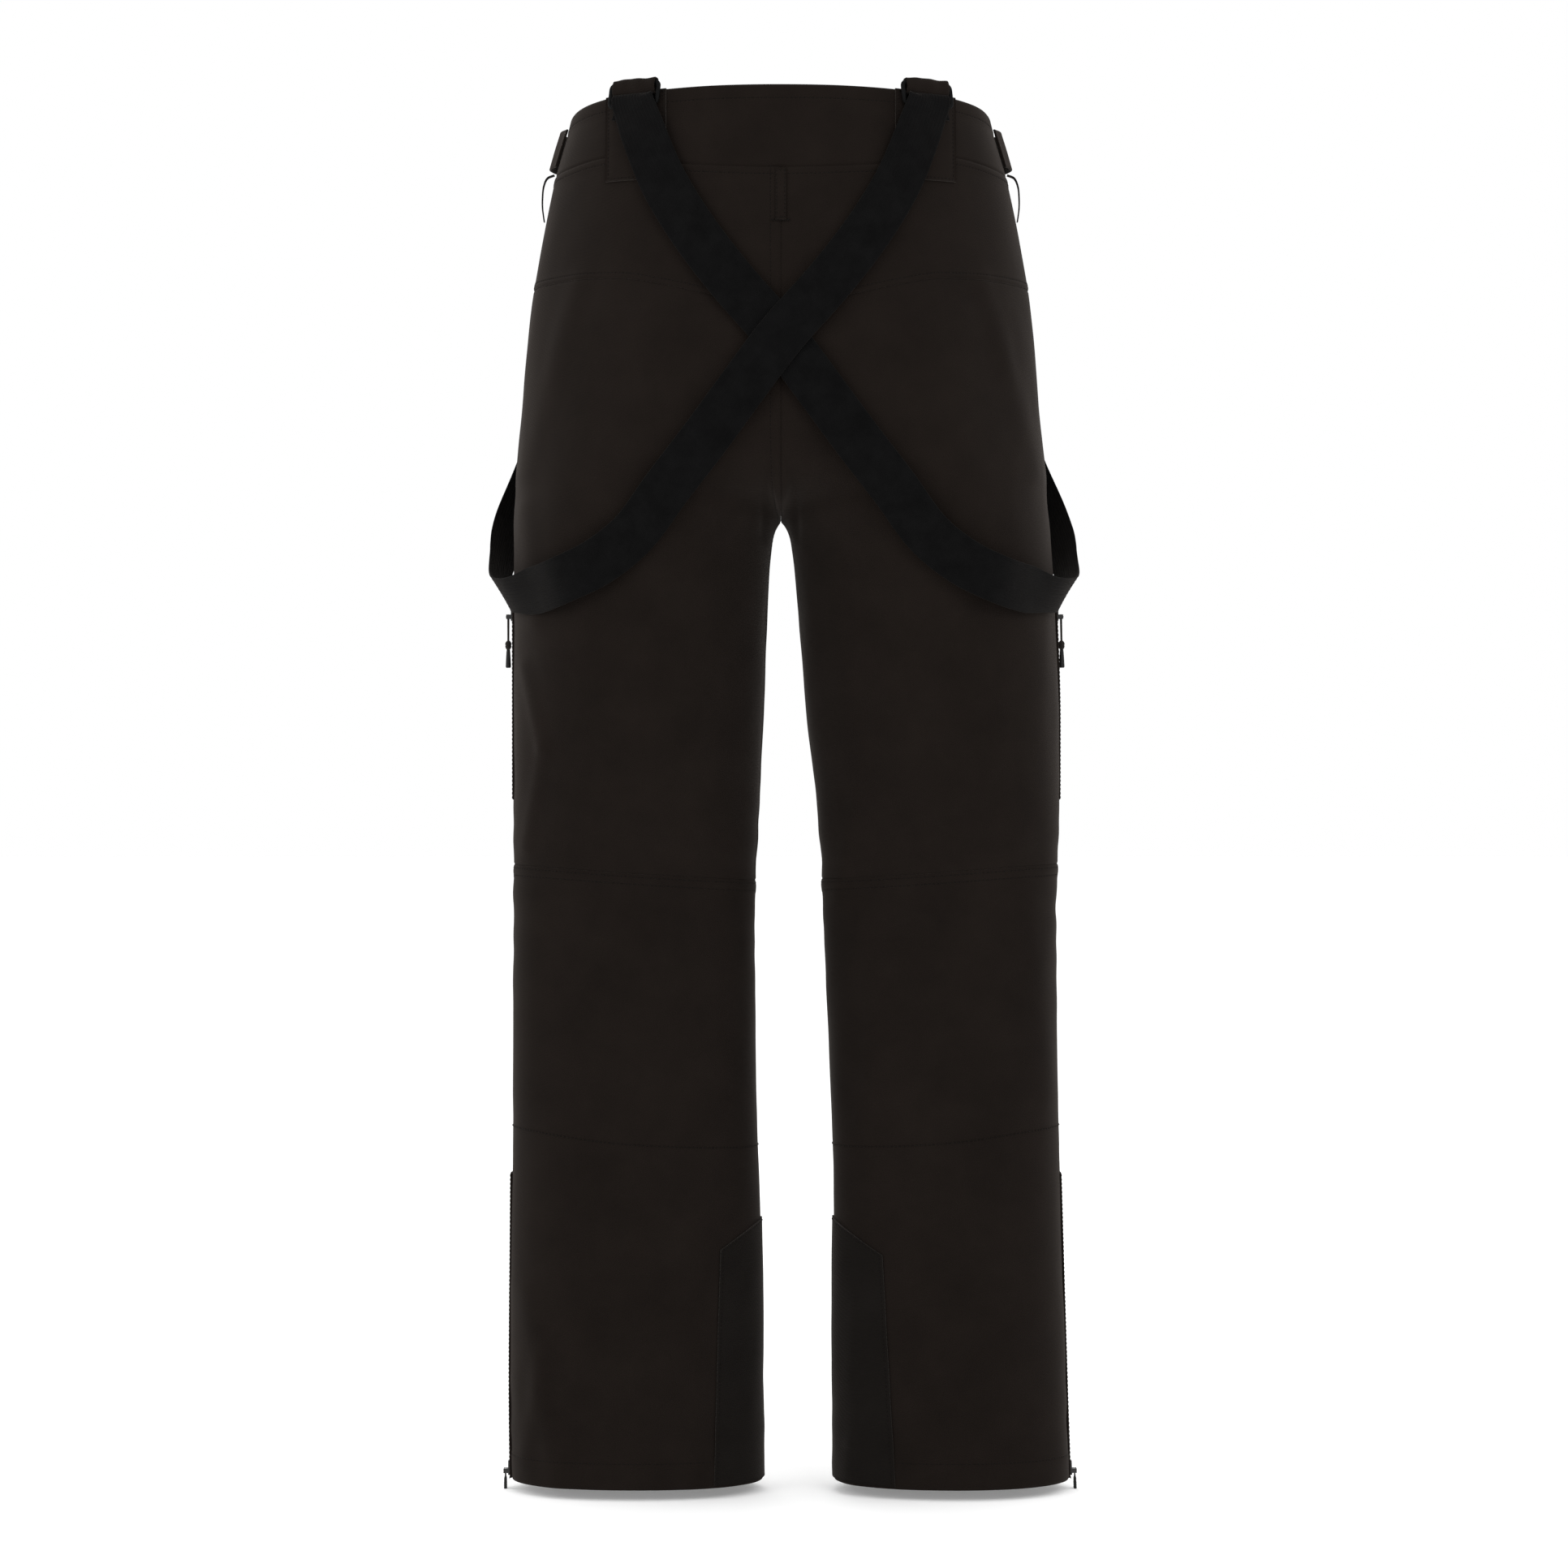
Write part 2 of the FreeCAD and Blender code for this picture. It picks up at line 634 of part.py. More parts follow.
def waistband_lining():
    """Soft inner face of the band, open behind the front closure."""
    def lower(point):
        return along(BAND_SEAM_BACK if point.y > 0 else BAND_SEAM_FRONT, abs(point.x))[0] + 1

    gap = math.acos((LINING_GAP / half(1, WAIST_SIDE)[1]) ** (ROUNDNESS / 2))
    outside = -FABRIC - SURFACE_GAP
    return arc_strip(1, (-gap, math.pi + gap), waist_edge, lower, outside - FABRIC, outside, 48)


def carrier(x, face, bottom):
    """Doubled fabric tab that holds a ring at the waist edge."""
    reach = (x - CARRIER_WIDTH / 2, x + CARRIER_WIDTH / 2)
    return strip(reach, face, waist_edge, level(bottom), SURFACE_GAP, SURFACE_GAP + PATCH)


def loop_patches():
    solids = []
    for side in SIDES.values():
        top, bottom = LOOP_PATCH_HEIGHTS
        solids.append(arc_strip(side, LOOP_PATCH_ANGLES, level(top), level(bottom), SURFACE_GAP, FABRIC))
    return Part.makeCompound(solids)


def tab_route(side):
    """Route of the hook tab: angle round the waist and stand-off, from its sewn end forwards."""
    route = []
    for angle, stand_off in TAB_ROUTE:
        normal = section_normal(side, TAB_MIDDLE, angle)
        route.append((on_section(side, TAB_MIDDLE, angle, 0) + normal * stand_off, normal))
    return route


def waist_tab(side):
    return ribbon(tab_route(side), TAB_HEIGHT, TAB_THICK, smooth=True)


def hanger_loop(side):
    route = []
    for index, (x, z) in enumerate(LOOP_ROUTE):
        normal = Vector(side * 0.5, 0, 1) if index == 0 else Vector(side, 0, 0.15)
        route.append((Vector(side * x, 0, z), normal))
    return ribbon(route, LOOP_WIDTH, LOOP_THICK)


def centre_back_tab():
    top, bottom = CENTRE_TAB_HEIGHTS
    reach = (-CENTRE_TAB_WIDTH / 2, CENTRE_TAB_WIDTH / 2)
    return strip(reach, 1, level(top), level(bottom), SURFACE_GAP, FABRIC, 4)


def fly_facing():
    top, bottom = FACING_HEIGHTS
    reach = (-FACING_WIDTH / 2, FACING_WIDTH / 2)
    return strip(reach, -1, level(top), level(bottom), -FACING_DEPTH - FABRIC, -FACING_DEPTH)


def pocket_bag(side):
    top, bottom = BAG_HEIGHTS
    return arc_strip(side, BAG_ANGLES, level(top), level(bottom), -BAG_DEPTH - FABRIC, -BAG_DEPTH)


def scuff_guard(side):
    """Hard-wearing patch round the inner ankle, its top corners cut on a slant."""
    def upper(point):
        inner = half(side, -1000)
        away = abs(point.x - (inner[0] - side * inner[1]))
        return GUARD_TOP - 0.55 * away

    reach = GUARD_REACH[side]
    return arc_strip(side, (math.pi - reach, math.pi + reach), upper, level(HEM + 2), SURFACE_GAP, PATCH, 16)


def gaiter_wire(side, share, offset):
    height = GAITER_TOP + (GAITER_BOTTOM - GAITER_TOP) * share
    centre, width, front, back = half(side, height)
    inset = 2.4 * (1 - share)
    narrow = share ** 1.5
    half_width = (width - FABRIC - inset) * (1 - narrow) + GAITER_CUFF[0] * narrow + offset
    depth = (min(front, back) - FABRIC - inset) * (1 - narrow) + GAITER_CUFF[1] * narrow + offset
    points = []
    for index in range(SECTION_POINTS):
        angle = 2 * math.pi * index / SECTION_POINTS
        across = signed_power(math.cos(angle), 2 / ROUNDNESS) * half_width
        points.append(Vector(centre + across, signed_power(math.sin(angle), 2 / ROUNDNESS) * depth, height))
    curve = Part.BSplineCurve()
    curve.interpolate(Points=points, PeriodicFlag=True)
    return Part.Wire([curve.toShape()])


def gaiter(side):
    """Snow gaiter sewn inside the leg, with a grip elastic round its lower edge."""
    shares = [0, 0.25, 0.5, 0.75, 1]
    outer = Part.makeLoft([gaiter_wire(side, s, 0) for s in shares], True, False)
    inner = Part.makeLoft([gaiter_wire(side, s, -1.0) for s in shares], True, False)
    sleeve = outer.cut(inner)
    band_outer = Part.makeLoft([gaiter_wire(side, s, 2.2) for s in (0.94, 1.0)], True, True)
    band_inner = Part.makeLoft([gaiter_wire(side, s, 0.4) for s in (0.94, 1.0)], True, True)
    elastic = band_outer.cut(band_inner)
    return Part.makeCompound([sleeve, elastic])


# ---------- the assembly ----------

def cut_slots(shape, zips, names):
    for name in names:
        shape = shape.cut(zip_slot(zips[name]))
    return shape


def torso_nodes(zips):
    nodes = {
        "waistband_back": waistband_back(),
        "waistband_front_left": waistband_front(1),
        "waistband_front_right": waistband_front(-1),
        "waistband_lining": waistband_lining(),
        "centre_back_tab": centre_back_tab(),
        "fly_facing": fly_facing(),
        "fly_snaps": snaps(),
        "loop_patches": loop_patches(),
    }
    rings = []
    front_carriers = []
    for name, side in SIDES.items():
        nodes["back_yoke_" + name] = half_panel(side, 1, seam(BAND_SEAM_BACK), seam(YOKE_SEAM))
        crotch = crotch_skin(side)
        seat = long_panel(side, 1, seam(YOKE_SEAM), level(KNEE_TOP), crotch)
        nodes["seat_panel_" + name] = cut_slots(seat, zips, ["thigh_" + name])
        front = long_panel(side, -1, seam(BAND_SEAM_FRONT), level(KNEE_TOP), crotch)
        cuts = ["fly", "pocket_" + name, "thigh_" + name]
        nodes["front_panel_" + name] = cut_slots(front, zips, cuts)
        nodes["back_carrier_" + name] = carrier(side * BACK_RING_X, 1, CARRIER_BOTTOM[1])
        front_carriers.append(carrier(side * FRONT_RING_X, -1, CARRIER_BOTTOM[-1]))
        nodes["hanger_loop_" + name] = hanger_loop(side)
        nodes["pocket_bag_" + name] = pocket_bag(side)
        nodes["strap_" + name] = strap(side)
        nodes["waist_tab_" + name] = waist_tab(side)
        nodes["strap_adjuster_" + name] = adjuster(side)
        rings.append(ring(side * BACK_RING_X, 1))
        rings.append(ring(side * FRONT_RING_X, -1))
    nodes["front_carriers"] = Part.makeCompound(front_carriers)
    nodes["strap_rings"] = Part.makeCompound(rings)
    return nodes


def leg_nodes(zips):
    nodes = {}
    for name, side in SIDES.items():
        knee = [panel(side, face, level(KNEE_TOP), level(KNEE_BOTTOM)) for face in (1, -1)]
        nodes["knee_" + name] = Part.makeCompound(knee)
        for node, face in (("calf_panel_", 1), ("shin_panel_", -1)):
            lower_leg = panel(side, face, level(KNEE_BOTTOM), level(HEM))
            nodes[node + name] = cut_slots(lower_leg, zips, ["ankle_" + name])
        nodes["scuff_guard_" + name] = scuff_guard(side)
        nodes["gaiter_" + name] = gaiter(side)
    return nodes


def zip_nodes(zips):
    nodes = {}
    for name, row in zips.items():
        kind, _, side = name.partition("_")
        ending = "_" + side if side else ""
        nodes[kind + "_zip" + ending] = zip_chain(row)
        nodes[kind + "_slider" + ending] = slider(row)
        nodes[kind + "_pull" + ending] = pull(row, corded=kind == "thigh")
    return nodes


def main():
    os.makedirs("parts", exist_ok=True)
    zips = zip_frames()
    nodes = {}
    nodes.update(torso_nodes(zips))
    nodes.update(leg_nodes(zips))
    nodes.update(zip_nodes(zips))
    for name, shape in sorted(nodes.items()):
        shape.exportStep("parts/" + name + ".step")
        box = shape.BoundBox
        print("%-24s solids %d valid %s volume %9.0f  x %7.1f %7.1f  y %7.1f %7.1f  z %8.1f %8.1f" % (
            name, len(shape.Solids), shape.isValid(), shape.Volume,
            box.XMin, box.XMax, box.YMin, box.YMax, box.ZMin, box.ZMax))
    print("nodes", len(nodes))


main()
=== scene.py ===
import math

import bpy
import numpy as np
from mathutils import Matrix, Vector, noise


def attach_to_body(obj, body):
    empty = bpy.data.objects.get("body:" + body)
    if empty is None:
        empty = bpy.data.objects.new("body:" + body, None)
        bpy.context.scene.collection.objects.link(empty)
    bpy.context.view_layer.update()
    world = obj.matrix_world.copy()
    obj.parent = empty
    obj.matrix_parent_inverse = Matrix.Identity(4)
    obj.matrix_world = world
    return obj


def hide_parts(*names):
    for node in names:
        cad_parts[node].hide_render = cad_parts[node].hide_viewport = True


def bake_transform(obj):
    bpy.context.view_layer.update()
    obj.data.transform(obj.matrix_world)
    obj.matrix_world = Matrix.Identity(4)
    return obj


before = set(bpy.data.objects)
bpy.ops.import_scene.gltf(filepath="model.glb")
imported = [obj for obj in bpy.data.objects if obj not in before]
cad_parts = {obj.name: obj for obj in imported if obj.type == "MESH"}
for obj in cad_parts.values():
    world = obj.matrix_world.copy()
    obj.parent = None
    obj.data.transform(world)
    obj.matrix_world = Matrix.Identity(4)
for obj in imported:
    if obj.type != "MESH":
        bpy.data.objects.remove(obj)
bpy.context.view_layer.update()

# Ski pants with crossed suspenders.  Tables are in millimetres, meshes in metres.

MM = 0.001
SIDES = {"left": 1, "right": -1}

# ---------- the garment's measures, as in the CAD; the knee seam is 9 mm higher ----------

# Height, inner and outer edge of the left leg, of the right leg, depth of the front and of the back.
# Above the crotch the inner edges run past the middle, and the two halves meet there.

OUTLINE = [
    (40, -160, 160, -160, 160, 112, 114),
    (-10, -170, 170, -170, 170, 119, 121),
    (-60, -184, 184, -184, 184, 125, 127),
    (-110, -194, 194, -194, 194, 131, 135),
    (-160, -202, 202, -202, 202, 137, 142),
    (-205, -207, 207, -207, 207, 141, 147),
    (-240, -184, 210, -184, 210, 142, 147),
    (-270, -142, 213, -142, 213, 138, 144),
    (-300, -86, 215, -86, 216, 131, 138),
    (-322, -36, 216, -36, 217, 122, 131),
    (-338, 3, 217, 3, 219, 115, 124),
    (-352, 7, 217, 8, 220, 111, 119),
    (-400, 11, 217, 13, 223, 104, 108),
    (-500, 15, 217, 21, 226, 92, 93),
    (-570, 18, 217, 30, 226, 82, 76),
    (-640, 21, 217, 34, 225, 74, 62),
    (-770, 20, 218, 39, 225, 64, 66),
    (-900, 17, 219, 43, 228, 60, 68),
    (-1034, 15, 220, 43, 232, 62, 68),
    (-1150, 14, 219, 43, 235, 64, 68),
]
ROUNDNESS = 2.2
FABRIC = 1.4
PATCH = 1.6
HEM = -1113
WAIST_SIDE = -10
WAIST_TILT = 12 / 118
# Seams, as (distance from the middle, height).
BAND_SEAM_BACK = [(0, -64), (70, -61), (135, -51), (184, -57), (260, -60)]
BAND_SEAM_FRONT = [(0, -66), (90, -64), (184, -57), (260, -60)]
YOKE_SEAM = [(0, -177), (56, -165), (95, -156), (128, -150), (160, -149), (205, -149), (260, -149)]
KNEE_SEAM = [(0, -628), (30, -626), (110, -621), (217, -614), (260, -612)]
SLEEVE_SEAM = [(0, -842), (60, -840), (130, -836), (217, -826), (260, -824)]

STRAP_WIDTH = 38
STRAP_THICK = 1.5
RING_WIDTH = 48
RING_HEIGHT = 22
RING_BAR = 3.6
RING_RISE = 8
RING_OFFSET = 4.0
BACK_RING_X = 114
FRONT_RING_X = 92
CARRIER_WIDTH = 48
# Strap over the back, as (across, height, stand off from the cloth), and round the hip, as place and facing.
BACK_RUN = [
    (-114, -12, 7.6), (-106, -35, 6.8), (-91, -75, 5.0), (-68, -115, 4.6), (-37, -157, 4.6),
    (0, -200, 4.6), (30, -240, 4.8), (58, -277, 5.4), (88, -314, 6.4), (116, -350, 7.4),
    (142, -372, 9), (168, -386, 13),
]
CROSSING_LIFT = 4.2
CROSSING_REACH = 48
HIP_RUN = [
    ((197, 79, -395), (0.50, 0.80, -0.15)), ((220, 45, -397), (0.80, 0.40, -0.40)),
    ((228, 8, -389), (0.85, -0.05, -0.60)), ((230, -28, -369), (0.90, -0.32, -0.40)),
    ((225, -58, -338), (0.80, -0.58, -0.15)), ((209, -82, -296), (0.67, -0.74, 0)),
    ((189, -101, -247), (0.56, -0.83, 0)),
]
FRONT_RUN_LOW = (163, -112.5, -196)
FRONT_RUN_HIGH = (97, -118.5, -52)
FRONT_FACING = -63

SLOT_WIDTH = 16
TAPE_TOP = -1.2
COIL_TOP = 0.8
SLIDER_LENGTH = 12
PIN_HEIGHT = 4.9
PIN_FORWARD = 2.5

LAP_NEAR = -32
LAP_FAR = 24
LAP_BOTTOM = -62
LINING_GAP = 40
TAB_HEIGHT = 32
TAB_MIDDLE = -34
# Waist tab, as (angle round the body from the side seam, stand off from the band).
TAB_ROUTE = [(0.12, 1.8), (0.0, 5.4), (-0.14, 9.6), (-0.30, 11.4), (-0.46, 10.4), (-0.62, 7.6), (-0.80, 4.8)]
LOOP_ROUTE = [(184.2, -53), (190, -55.5), (193, -62), (194, -71), (194, -80), (192.6, -91)]
GUARD_TOP = -900
GUARD_REACH = {1: 0.95, -1: 1.1}
GUARD_TAPER = 0.1        # share of its width that the guard loses at the top
GAITER_TOP = -836
GAITER_BOTTOM = -1086
GAITER_CUFF = (74, 50)

STEP = 3.6               # mesh spacing in the middle of a panel
STITCH_PITCH = 3.4
STITCH_RADIUS = 0.32
EDGE_ANGLE = 0.002       # of a panel beside the side seam
SEAM_ROLL = 0.8          # how far the cloth dips into a seam
SOFT_REACH = 48          # height over which the top of the legs is evened out, each way
SOFT_TOP = -200
SOFT_BOTTOM = -470
SOFT_PASSES = 16

# Soft folds on the outside: face, start (x, z), end (x, z), half width and height.
FOLDS = [
    (1, (160, -150), (204, -300), 11, 2.0), (1, (-160, -150), (-206, -300), 9, 1.7),
    (1, (205, -330), (196, -420), 9, 1.8), (1, (-60, -330), (-150, -440), 20, 1.4),
    (1, (206, -455), (190, -520), 6, 2.0), (1, (190, -520), (205, -600), 6, 1.8),
    (1, (60, -335), (170, -440), 22, 1.4), (1, (-50, -420), (-62, -560), 10, 1.6),
    (1, (-62, -560), (-48, -640), 8, 1.8), (1, (60, -480), (38, -600), 12, 1.3),
    (1, (-64, -660), (-80, -790), 13, 2.6), (1, (-84, -700), (-66, -820), 8, 1.8),
    (1, (200, -640), (206, -800), 14, 1.4), (1, (204, -960), (180, -1105), 11, 2.4),
    (1, (188, -1000), (206, -1090), 8, 1.5), (1, (-64, -960), (-58, -1105), 9, 2.2),
    (1, (-76, -1010), (-60, -1080), 6, 1.6), (1, (-200, -640), (-214, -800), 12, 1.3),
    (1, (11, -292), (14, -350), 3.5, -1.8), (1, (-9, -292), (-13, -350), 3.5, -1.8),
    (1, (1, -300), (1, -338), 5, 1.0),
    (-1, (70, -215), (190, -300), 14, 1.8), (-1, (-70, -215), (-190, -300), 14, 1.8),
    (-1, (40, -330), (150, -400), 14, 1.7), (-1, (-40, -330), (-150, -400), 14, 1.7),
    (-1, (60, -600), (180, -560), 12, 2.4), (-1, (-70, -600), (-190, -565), 12, 2.4),
    (-1, (70, -660), (190, -690), 12, 2.0), (-1, (-70, -655), (-190, -690), 12, 2.0),
    (-1, (60, -1040), (150, -1090), 12, 2.2), (-1, (-80, -1040), (-170, -1085), 12, 2.2),
]


# ---------- number helpers ----------

def signed_power(value, power):
    return np.sign(value) * np.abs(value) ** power


def smooth(t):
    t = np.clip(t, 0, 1)
    return t * t * (3 - 2 * t)


def unit(vectors):
    return vectors / np.maximum(np.linalg.norm(vectors, axis=-1, keepdims=True), 1e-9)


def table(rows, keys):
    """Columns of a table at these keys, by cubic interpolation that never overshoots."""
    rows = np.array(sorted(rows), float)
    key, value = rows[:, 0], rows[:, 1:]
    rise = np.diff(value, axis=0) / np.diff(key)[:, None]
    slopes = np.zeros_like(value)
    product = rise[:-1] * rise[1:]
    total = np.where(product > 0, rise[:-1] + rise[1:], 1)
    slopes[1:-1] = np.where(product > 0, 2 * product / total, 0)
    keys = np.clip(np.asarray(keys, float), key[0], key[-1])
    index = np.clip(np.searchsorted(key, keys, side="right") - 1, 0, len(key) - 2)
    span = (key[index + 1] - key[index])[..., None]
    t = (keys - key[index])[..., None] / span
    return (
        value[index] * (2 * t ** 3 - 3 * t ** 2 + 1) + slopes[index] * span * (t ** 3 - 2 * t ** 2 + t)
        + value[index + 1] * (3 * t ** 2 - 2 * t ** 3) + slopes[index + 1] * span * (t ** 3 - t ** 2)
    )


def half(side, height):
    row = table(OUTLINE, height)
    inner, outer = (row[..., 0], row[..., 1]) if side > 0 else (row[..., 2], row[..., 3])
    return side * (inner + outer) / 2, (outer - inner) / 2, row[..., 4], row[..., 5]


def on_section(side, height, angle, offset=0.0):
    height, angle = np.broadcast_arrays(np.asarray(height, float), np.asarray(angle, float))
    centre, width, front, back = half(side, height)
    across = side * signed_power(np.cos(angle), 2 / ROUNDNESS) * (width + offset)
    depth = signed_power(np.sin(angle), 2 / ROUNDNESS)
    depth = depth * (np.where(depth > 0, back, front) + offset)
    return np.stack([centre + across, depth, height], axis=-1)


def last_angle(side, height):
    centre, width, _, _ = half(side, height)
    share = np.clip((0.02 - side * centre) / width, -1, 1)
    return np.arccos(signed_power(share, ROUNDNESS / 2))


def skin_depth(x, height, face):
    side = 1 if np.mean(x) >= 0 else -1
    centre, width, front, back = half(side, height)
    share = np.clip(np.abs(x - centre) / width, 0, 0.999)
    return np.where(face > 0, back, front) * (1 - share ** ROUNDNESS) ** (1 / ROUNDNESS)


def skin(x, height, face, offset=0.0):
    """Points on the outer surface of the torso or a leg, and the way it faces there."""
    x, height = np.asarray(x, float), np.asarray(height, float)
    across = skin_depth(x + 0.5, height, face) - skin_depth(x - 0.5, height, face)
    rise = skin_depth(x, height + 0.5, face) - skin_depth(x, height - 0.5, face)
    normal = unit(np.stack([-across, np.full_like(across, float(face)), -rise], axis=-1))
    point = np.stack([x, face * skin_depth(x, height, face), height], axis=-1)
    return point + normal * offset, normal


def side_skin(side, y, height):
    """Points on the outer side of a leg at this depth, and the way the surface faces."""
    centre, width, front, back = half(side, height)
    depth = np.where(y > 0, back, front)
    share = np.clip(np.abs(y) / depth, 0, 0.999)
    x = centre + side * width * (1 - share ** ROUNDNESS) ** (1 / ROUNDNESS)
    point = np.stack([x, y, height], axis=-1)
    normal = unit(np.stack([side * np.ones_like(y), signed_power(y / depth, 1.2), 0 * y], axis=-1))
    return point, normal


def waist_edge(point):
    return WAIST_SIDE + WAIST_TILT * point[..., 1]


def seam(rows):
    return lambda point: table(rows, np.abs(point[..., 0]))[..., 0]


def level(height):
    return lambda point: np.full(point.shape[:-1], float(height))


# ---------- materials ----------

def new_material(name, base, roughness, sheen=0.0, ior=1.5, metallic=0.0, coat=0.0):
    material = bpy.data.materials.new(name)
    material.use_nodes = True
    shader = material.node_tree.nodes["Principled BSDF"]
    shader.inputs["Base Color"].default_value = (*base, 1)
    shader.inputs["Roughness"].default_value = roughness
    shader.inputs["IOR"].default_value = ior
    shader.inputs["Metallic"].default_value = metallic
    shader.inputs["Sheen Weight"].default_value = sheen
    shader.inputs["Sheen Roughness"].default_value = 0.45
    shader.inputs["Sheen Tint"].default_value = (1, 0.88, 0.80, 1)
    shader.inputs["Coat Weight"].default_value = coat
    shader.inputs["Coat Roughness"].default_value = 0.15
    return material, material.node_tree, shader


def node(tree, kind, **settings):
    made = tree.nodes.new(kind)
    for key, value in settings.items():
        if key in made.inputs:
            made.inputs[key].default_value = value
        else:
            setattr(made, key, value)
    return made


def colour_and_roughness(tree, shader, coords, dark, light, scale, rough_low, rough_high, stretch=(1, 1, 1)):
    """Uneven colour and roughness over the surface, from two sizes of noise."""
    mapping = node(tree, "ShaderNodeMapping", Scale=stretch)
    tree.links.new(coords, mapping.inputs["Vector"])
    broad = node(tree, "ShaderNodeTexNoise", Scale=scale, Detail=4.0, Roughness=0.6)
    tree.links.new(mapping.outputs["Vector"], broad.inputs["Vector"])
    ramp = node(tree, "ShaderNodeValToRGB")
    ramp.color_ramp.elements[0].position = 0.3
    ramp.color_ramp.elements[0].color = (*dark, 1)
    ramp.color_ramp.elements[1].position = 0.7
    ramp.color_ramp.elements[1].color = (*light, 1)
    tree.links.new(broad.outputs["Fac"], ramp.inputs["Fac"])
    tree.links.new(ramp.outputs["Color"], shader.inputs["Base Color"])
    span = node(tree, "ShaderNodeMapRange")
    span.inputs["To Min"].default_value = rough_low
    span.inputs["To Max"].default_value = rough_high
    tree.links.new(broad.outputs["Fac"], span.inputs["Value"])
    tree.links.new(span.outputs["Result"], shader.inputs["Roughness"])
    return ramp


def add_bump(tree, height, strength, distance, below=None):
    bump = node(tree, "ShaderNodeBump", Strength=strength, Distance=distance)
    tree.links.new(height, bump.inputs["Height"])
    if below is not None:
        tree.links.new(below, bump.inputs["Normal"])
    return bump.outputs["Normal"]


def woven(name, dark, light, pitch, bump, sheen=0.1, use_uv=False, rough=(0.82, 0.97), rib=1.0, ior=1.1):
    """Woven cloth: warp and weft ridges, yarn unevenness and a few rubbed places."""
    material, tree, shader = new_material(name, dark, 0.9, sheen, ior)
    coords = node(tree, "ShaderNodeTexCoord").outputs["UV" if use_uv else "Object"]
    colour_and_roughness(tree, shader, coords, dark, light, 55 if use_uv else 22, *rough)
    normal = None
    if use_uv:
        directions = [("X", 1.0), ("Y", rib)]
    else:
        directions = [("DIAGONAL", 1.0), ("Z", rib)]
    for direction, share in directions:
        scale = share * 2 * math.pi / (20 * pitch * MM)
        wave = node(tree, "ShaderNodeTexWave", bands_direction=direction, Scale=scale, Distortion=0.6,
                    Detail=1.0)
        tree.links.new(coords, wave.inputs["Vector"])
        normal = add_bump(tree, wave.outputs["Fac"], bump, 0.0002, normal)
    yarn = node(tree, "ShaderNodeTexNoise", Scale=900.0, Detail=3.0, Roughness=0.7)
    tree.links.new(coords, yarn.inputs["Vector"])
    normal = add_bump(tree, yarn.outputs["Fac"], bump * 1.2, 0.0002, normal)
    tree.links.new(normal, shader.inputs["Normal"])
    return material


def moulded(name, dark, light, rough, ior=1.3, metallic=0.0, coat=0.0, grain=1200.0, bump=0.15):
    """Moulded plastic, rubber or lacquered metal with a fine grain and rubbed, uneven gloss."""
    material, tree, shader = new_material(name, dark, rough[0], 0.0, ior, metallic, coat)
    coords = node(tree, "ShaderNodeTexCoord").outputs["Object"]
    colour_and_roughness(tree, shader, coords, dark, light, 160, *rough)
    fine = node(tree, "ShaderNodeTexNoise", Scale=grain, Detail=2.0, Roughness=0.5)
    tree.links.new(coords, fine.inputs["Vector"])
    tree.links.new(add_bump(tree, fine.outputs["Fac"], bump, 0.0001), shader.inputs["Normal"])
    return material


def fuzzy(name, dark, light, scale):
    """Pile of loops or hooks."""
    material, tree, shader = new_material(name, dark, 0.95, 0.2, 1.1)
    coords = node(tree, "ShaderNodeTexCoord").outputs["Object"]
    colour_and_roughness(tree, shader, coords, dark, light, 260, 0.9, 1.0)
    cells = node(tree, "ShaderNodeTexVoronoi", Scale=scale)
    tree.links.new(coords, cells.inputs["Vector"])
    tree.links.new(add_bump(tree, cells.outputs["Distance"], 0.8, 0.0008), shader.inputs["Normal"])
    return material


SHELL = woven("softshell", (0.0068, 0.0050, 0.0041), (0.0092, 0.0068, 0.0056), 1.1, 0.25, sheen=0.06)
INSIDE = woven("brushed_inside", (0.014, 0.013, 0.012), (0.020, 0.019, 0.018), 1.6, 0.3, sheen=0.3)
LINING = woven("brushed_tricot", (0.015, 0.015, 0.016), (0.024, 0.024, 0.025), 1.3, 0.3, sheen=0.3)
ELASTIC = woven("ribbed_elastic", (0.0022, 0.0022, 0.0023), (0.0040, 0.0040, 0.0041), 1.5, 0.5, sheen=0.04,
                use_uv=True, rib=1.7)
TAPE = woven("grosgrain_tape", (0.006, 0.006, 0.006), (0.009, 0.009, 0.009), 0.9, 0.45, use_uv=True, rib=0.8)
SLEEVE = woven("coated_nylon", (0.010, 0.010, 0.011), (0.014, 0.014, 0.015), 0.5, 0.12, sheen=0.05,
               rough=(0.55, 0.75), ior=1.3)
GUARD = woven("ballistic_weave", (0.0056, 0.0047, 0.0041), (0.0074, 0.0063, 0.0056), 1.7, 0.4, sheen=0.05)
THREAD = woven("polyester_thread", (0.0038, 0.0030, 0.0026), (0.0054, 0.0043, 0.0037), 0.4, 0.3, sheen=0.04,
               rough=(0.6, 0.8), ior=1.12)
CORD = woven("braided_cord", (0.012, 0.011, 0.010), (0.022, 0.020, 0.018), 0.8, 0.6, sheen=0.2)
RUBBER = moulded("moulded_rubber", (0.008, 0.008, 0.008), (0.013, 0.013, 0.013), (0.55, 0.75))
PLASTIC = moulded("moulded_nylon", (0.003, 0.003, 0.003), (0.005, 0.005, 0.005), (0.45, 0.62), 1.12)
METAL = moulded("lacquered_metal", (0.010, 0.010, 0.010), (0.018, 0.018, 0.018), (0.25, 0.45), 1.4, 0.4, 0.3)
COIL = moulded("nylon_coil", (0.006, 0.006, 0.006), (0.011, 0.011, 0.011), (0.35, 0.55))
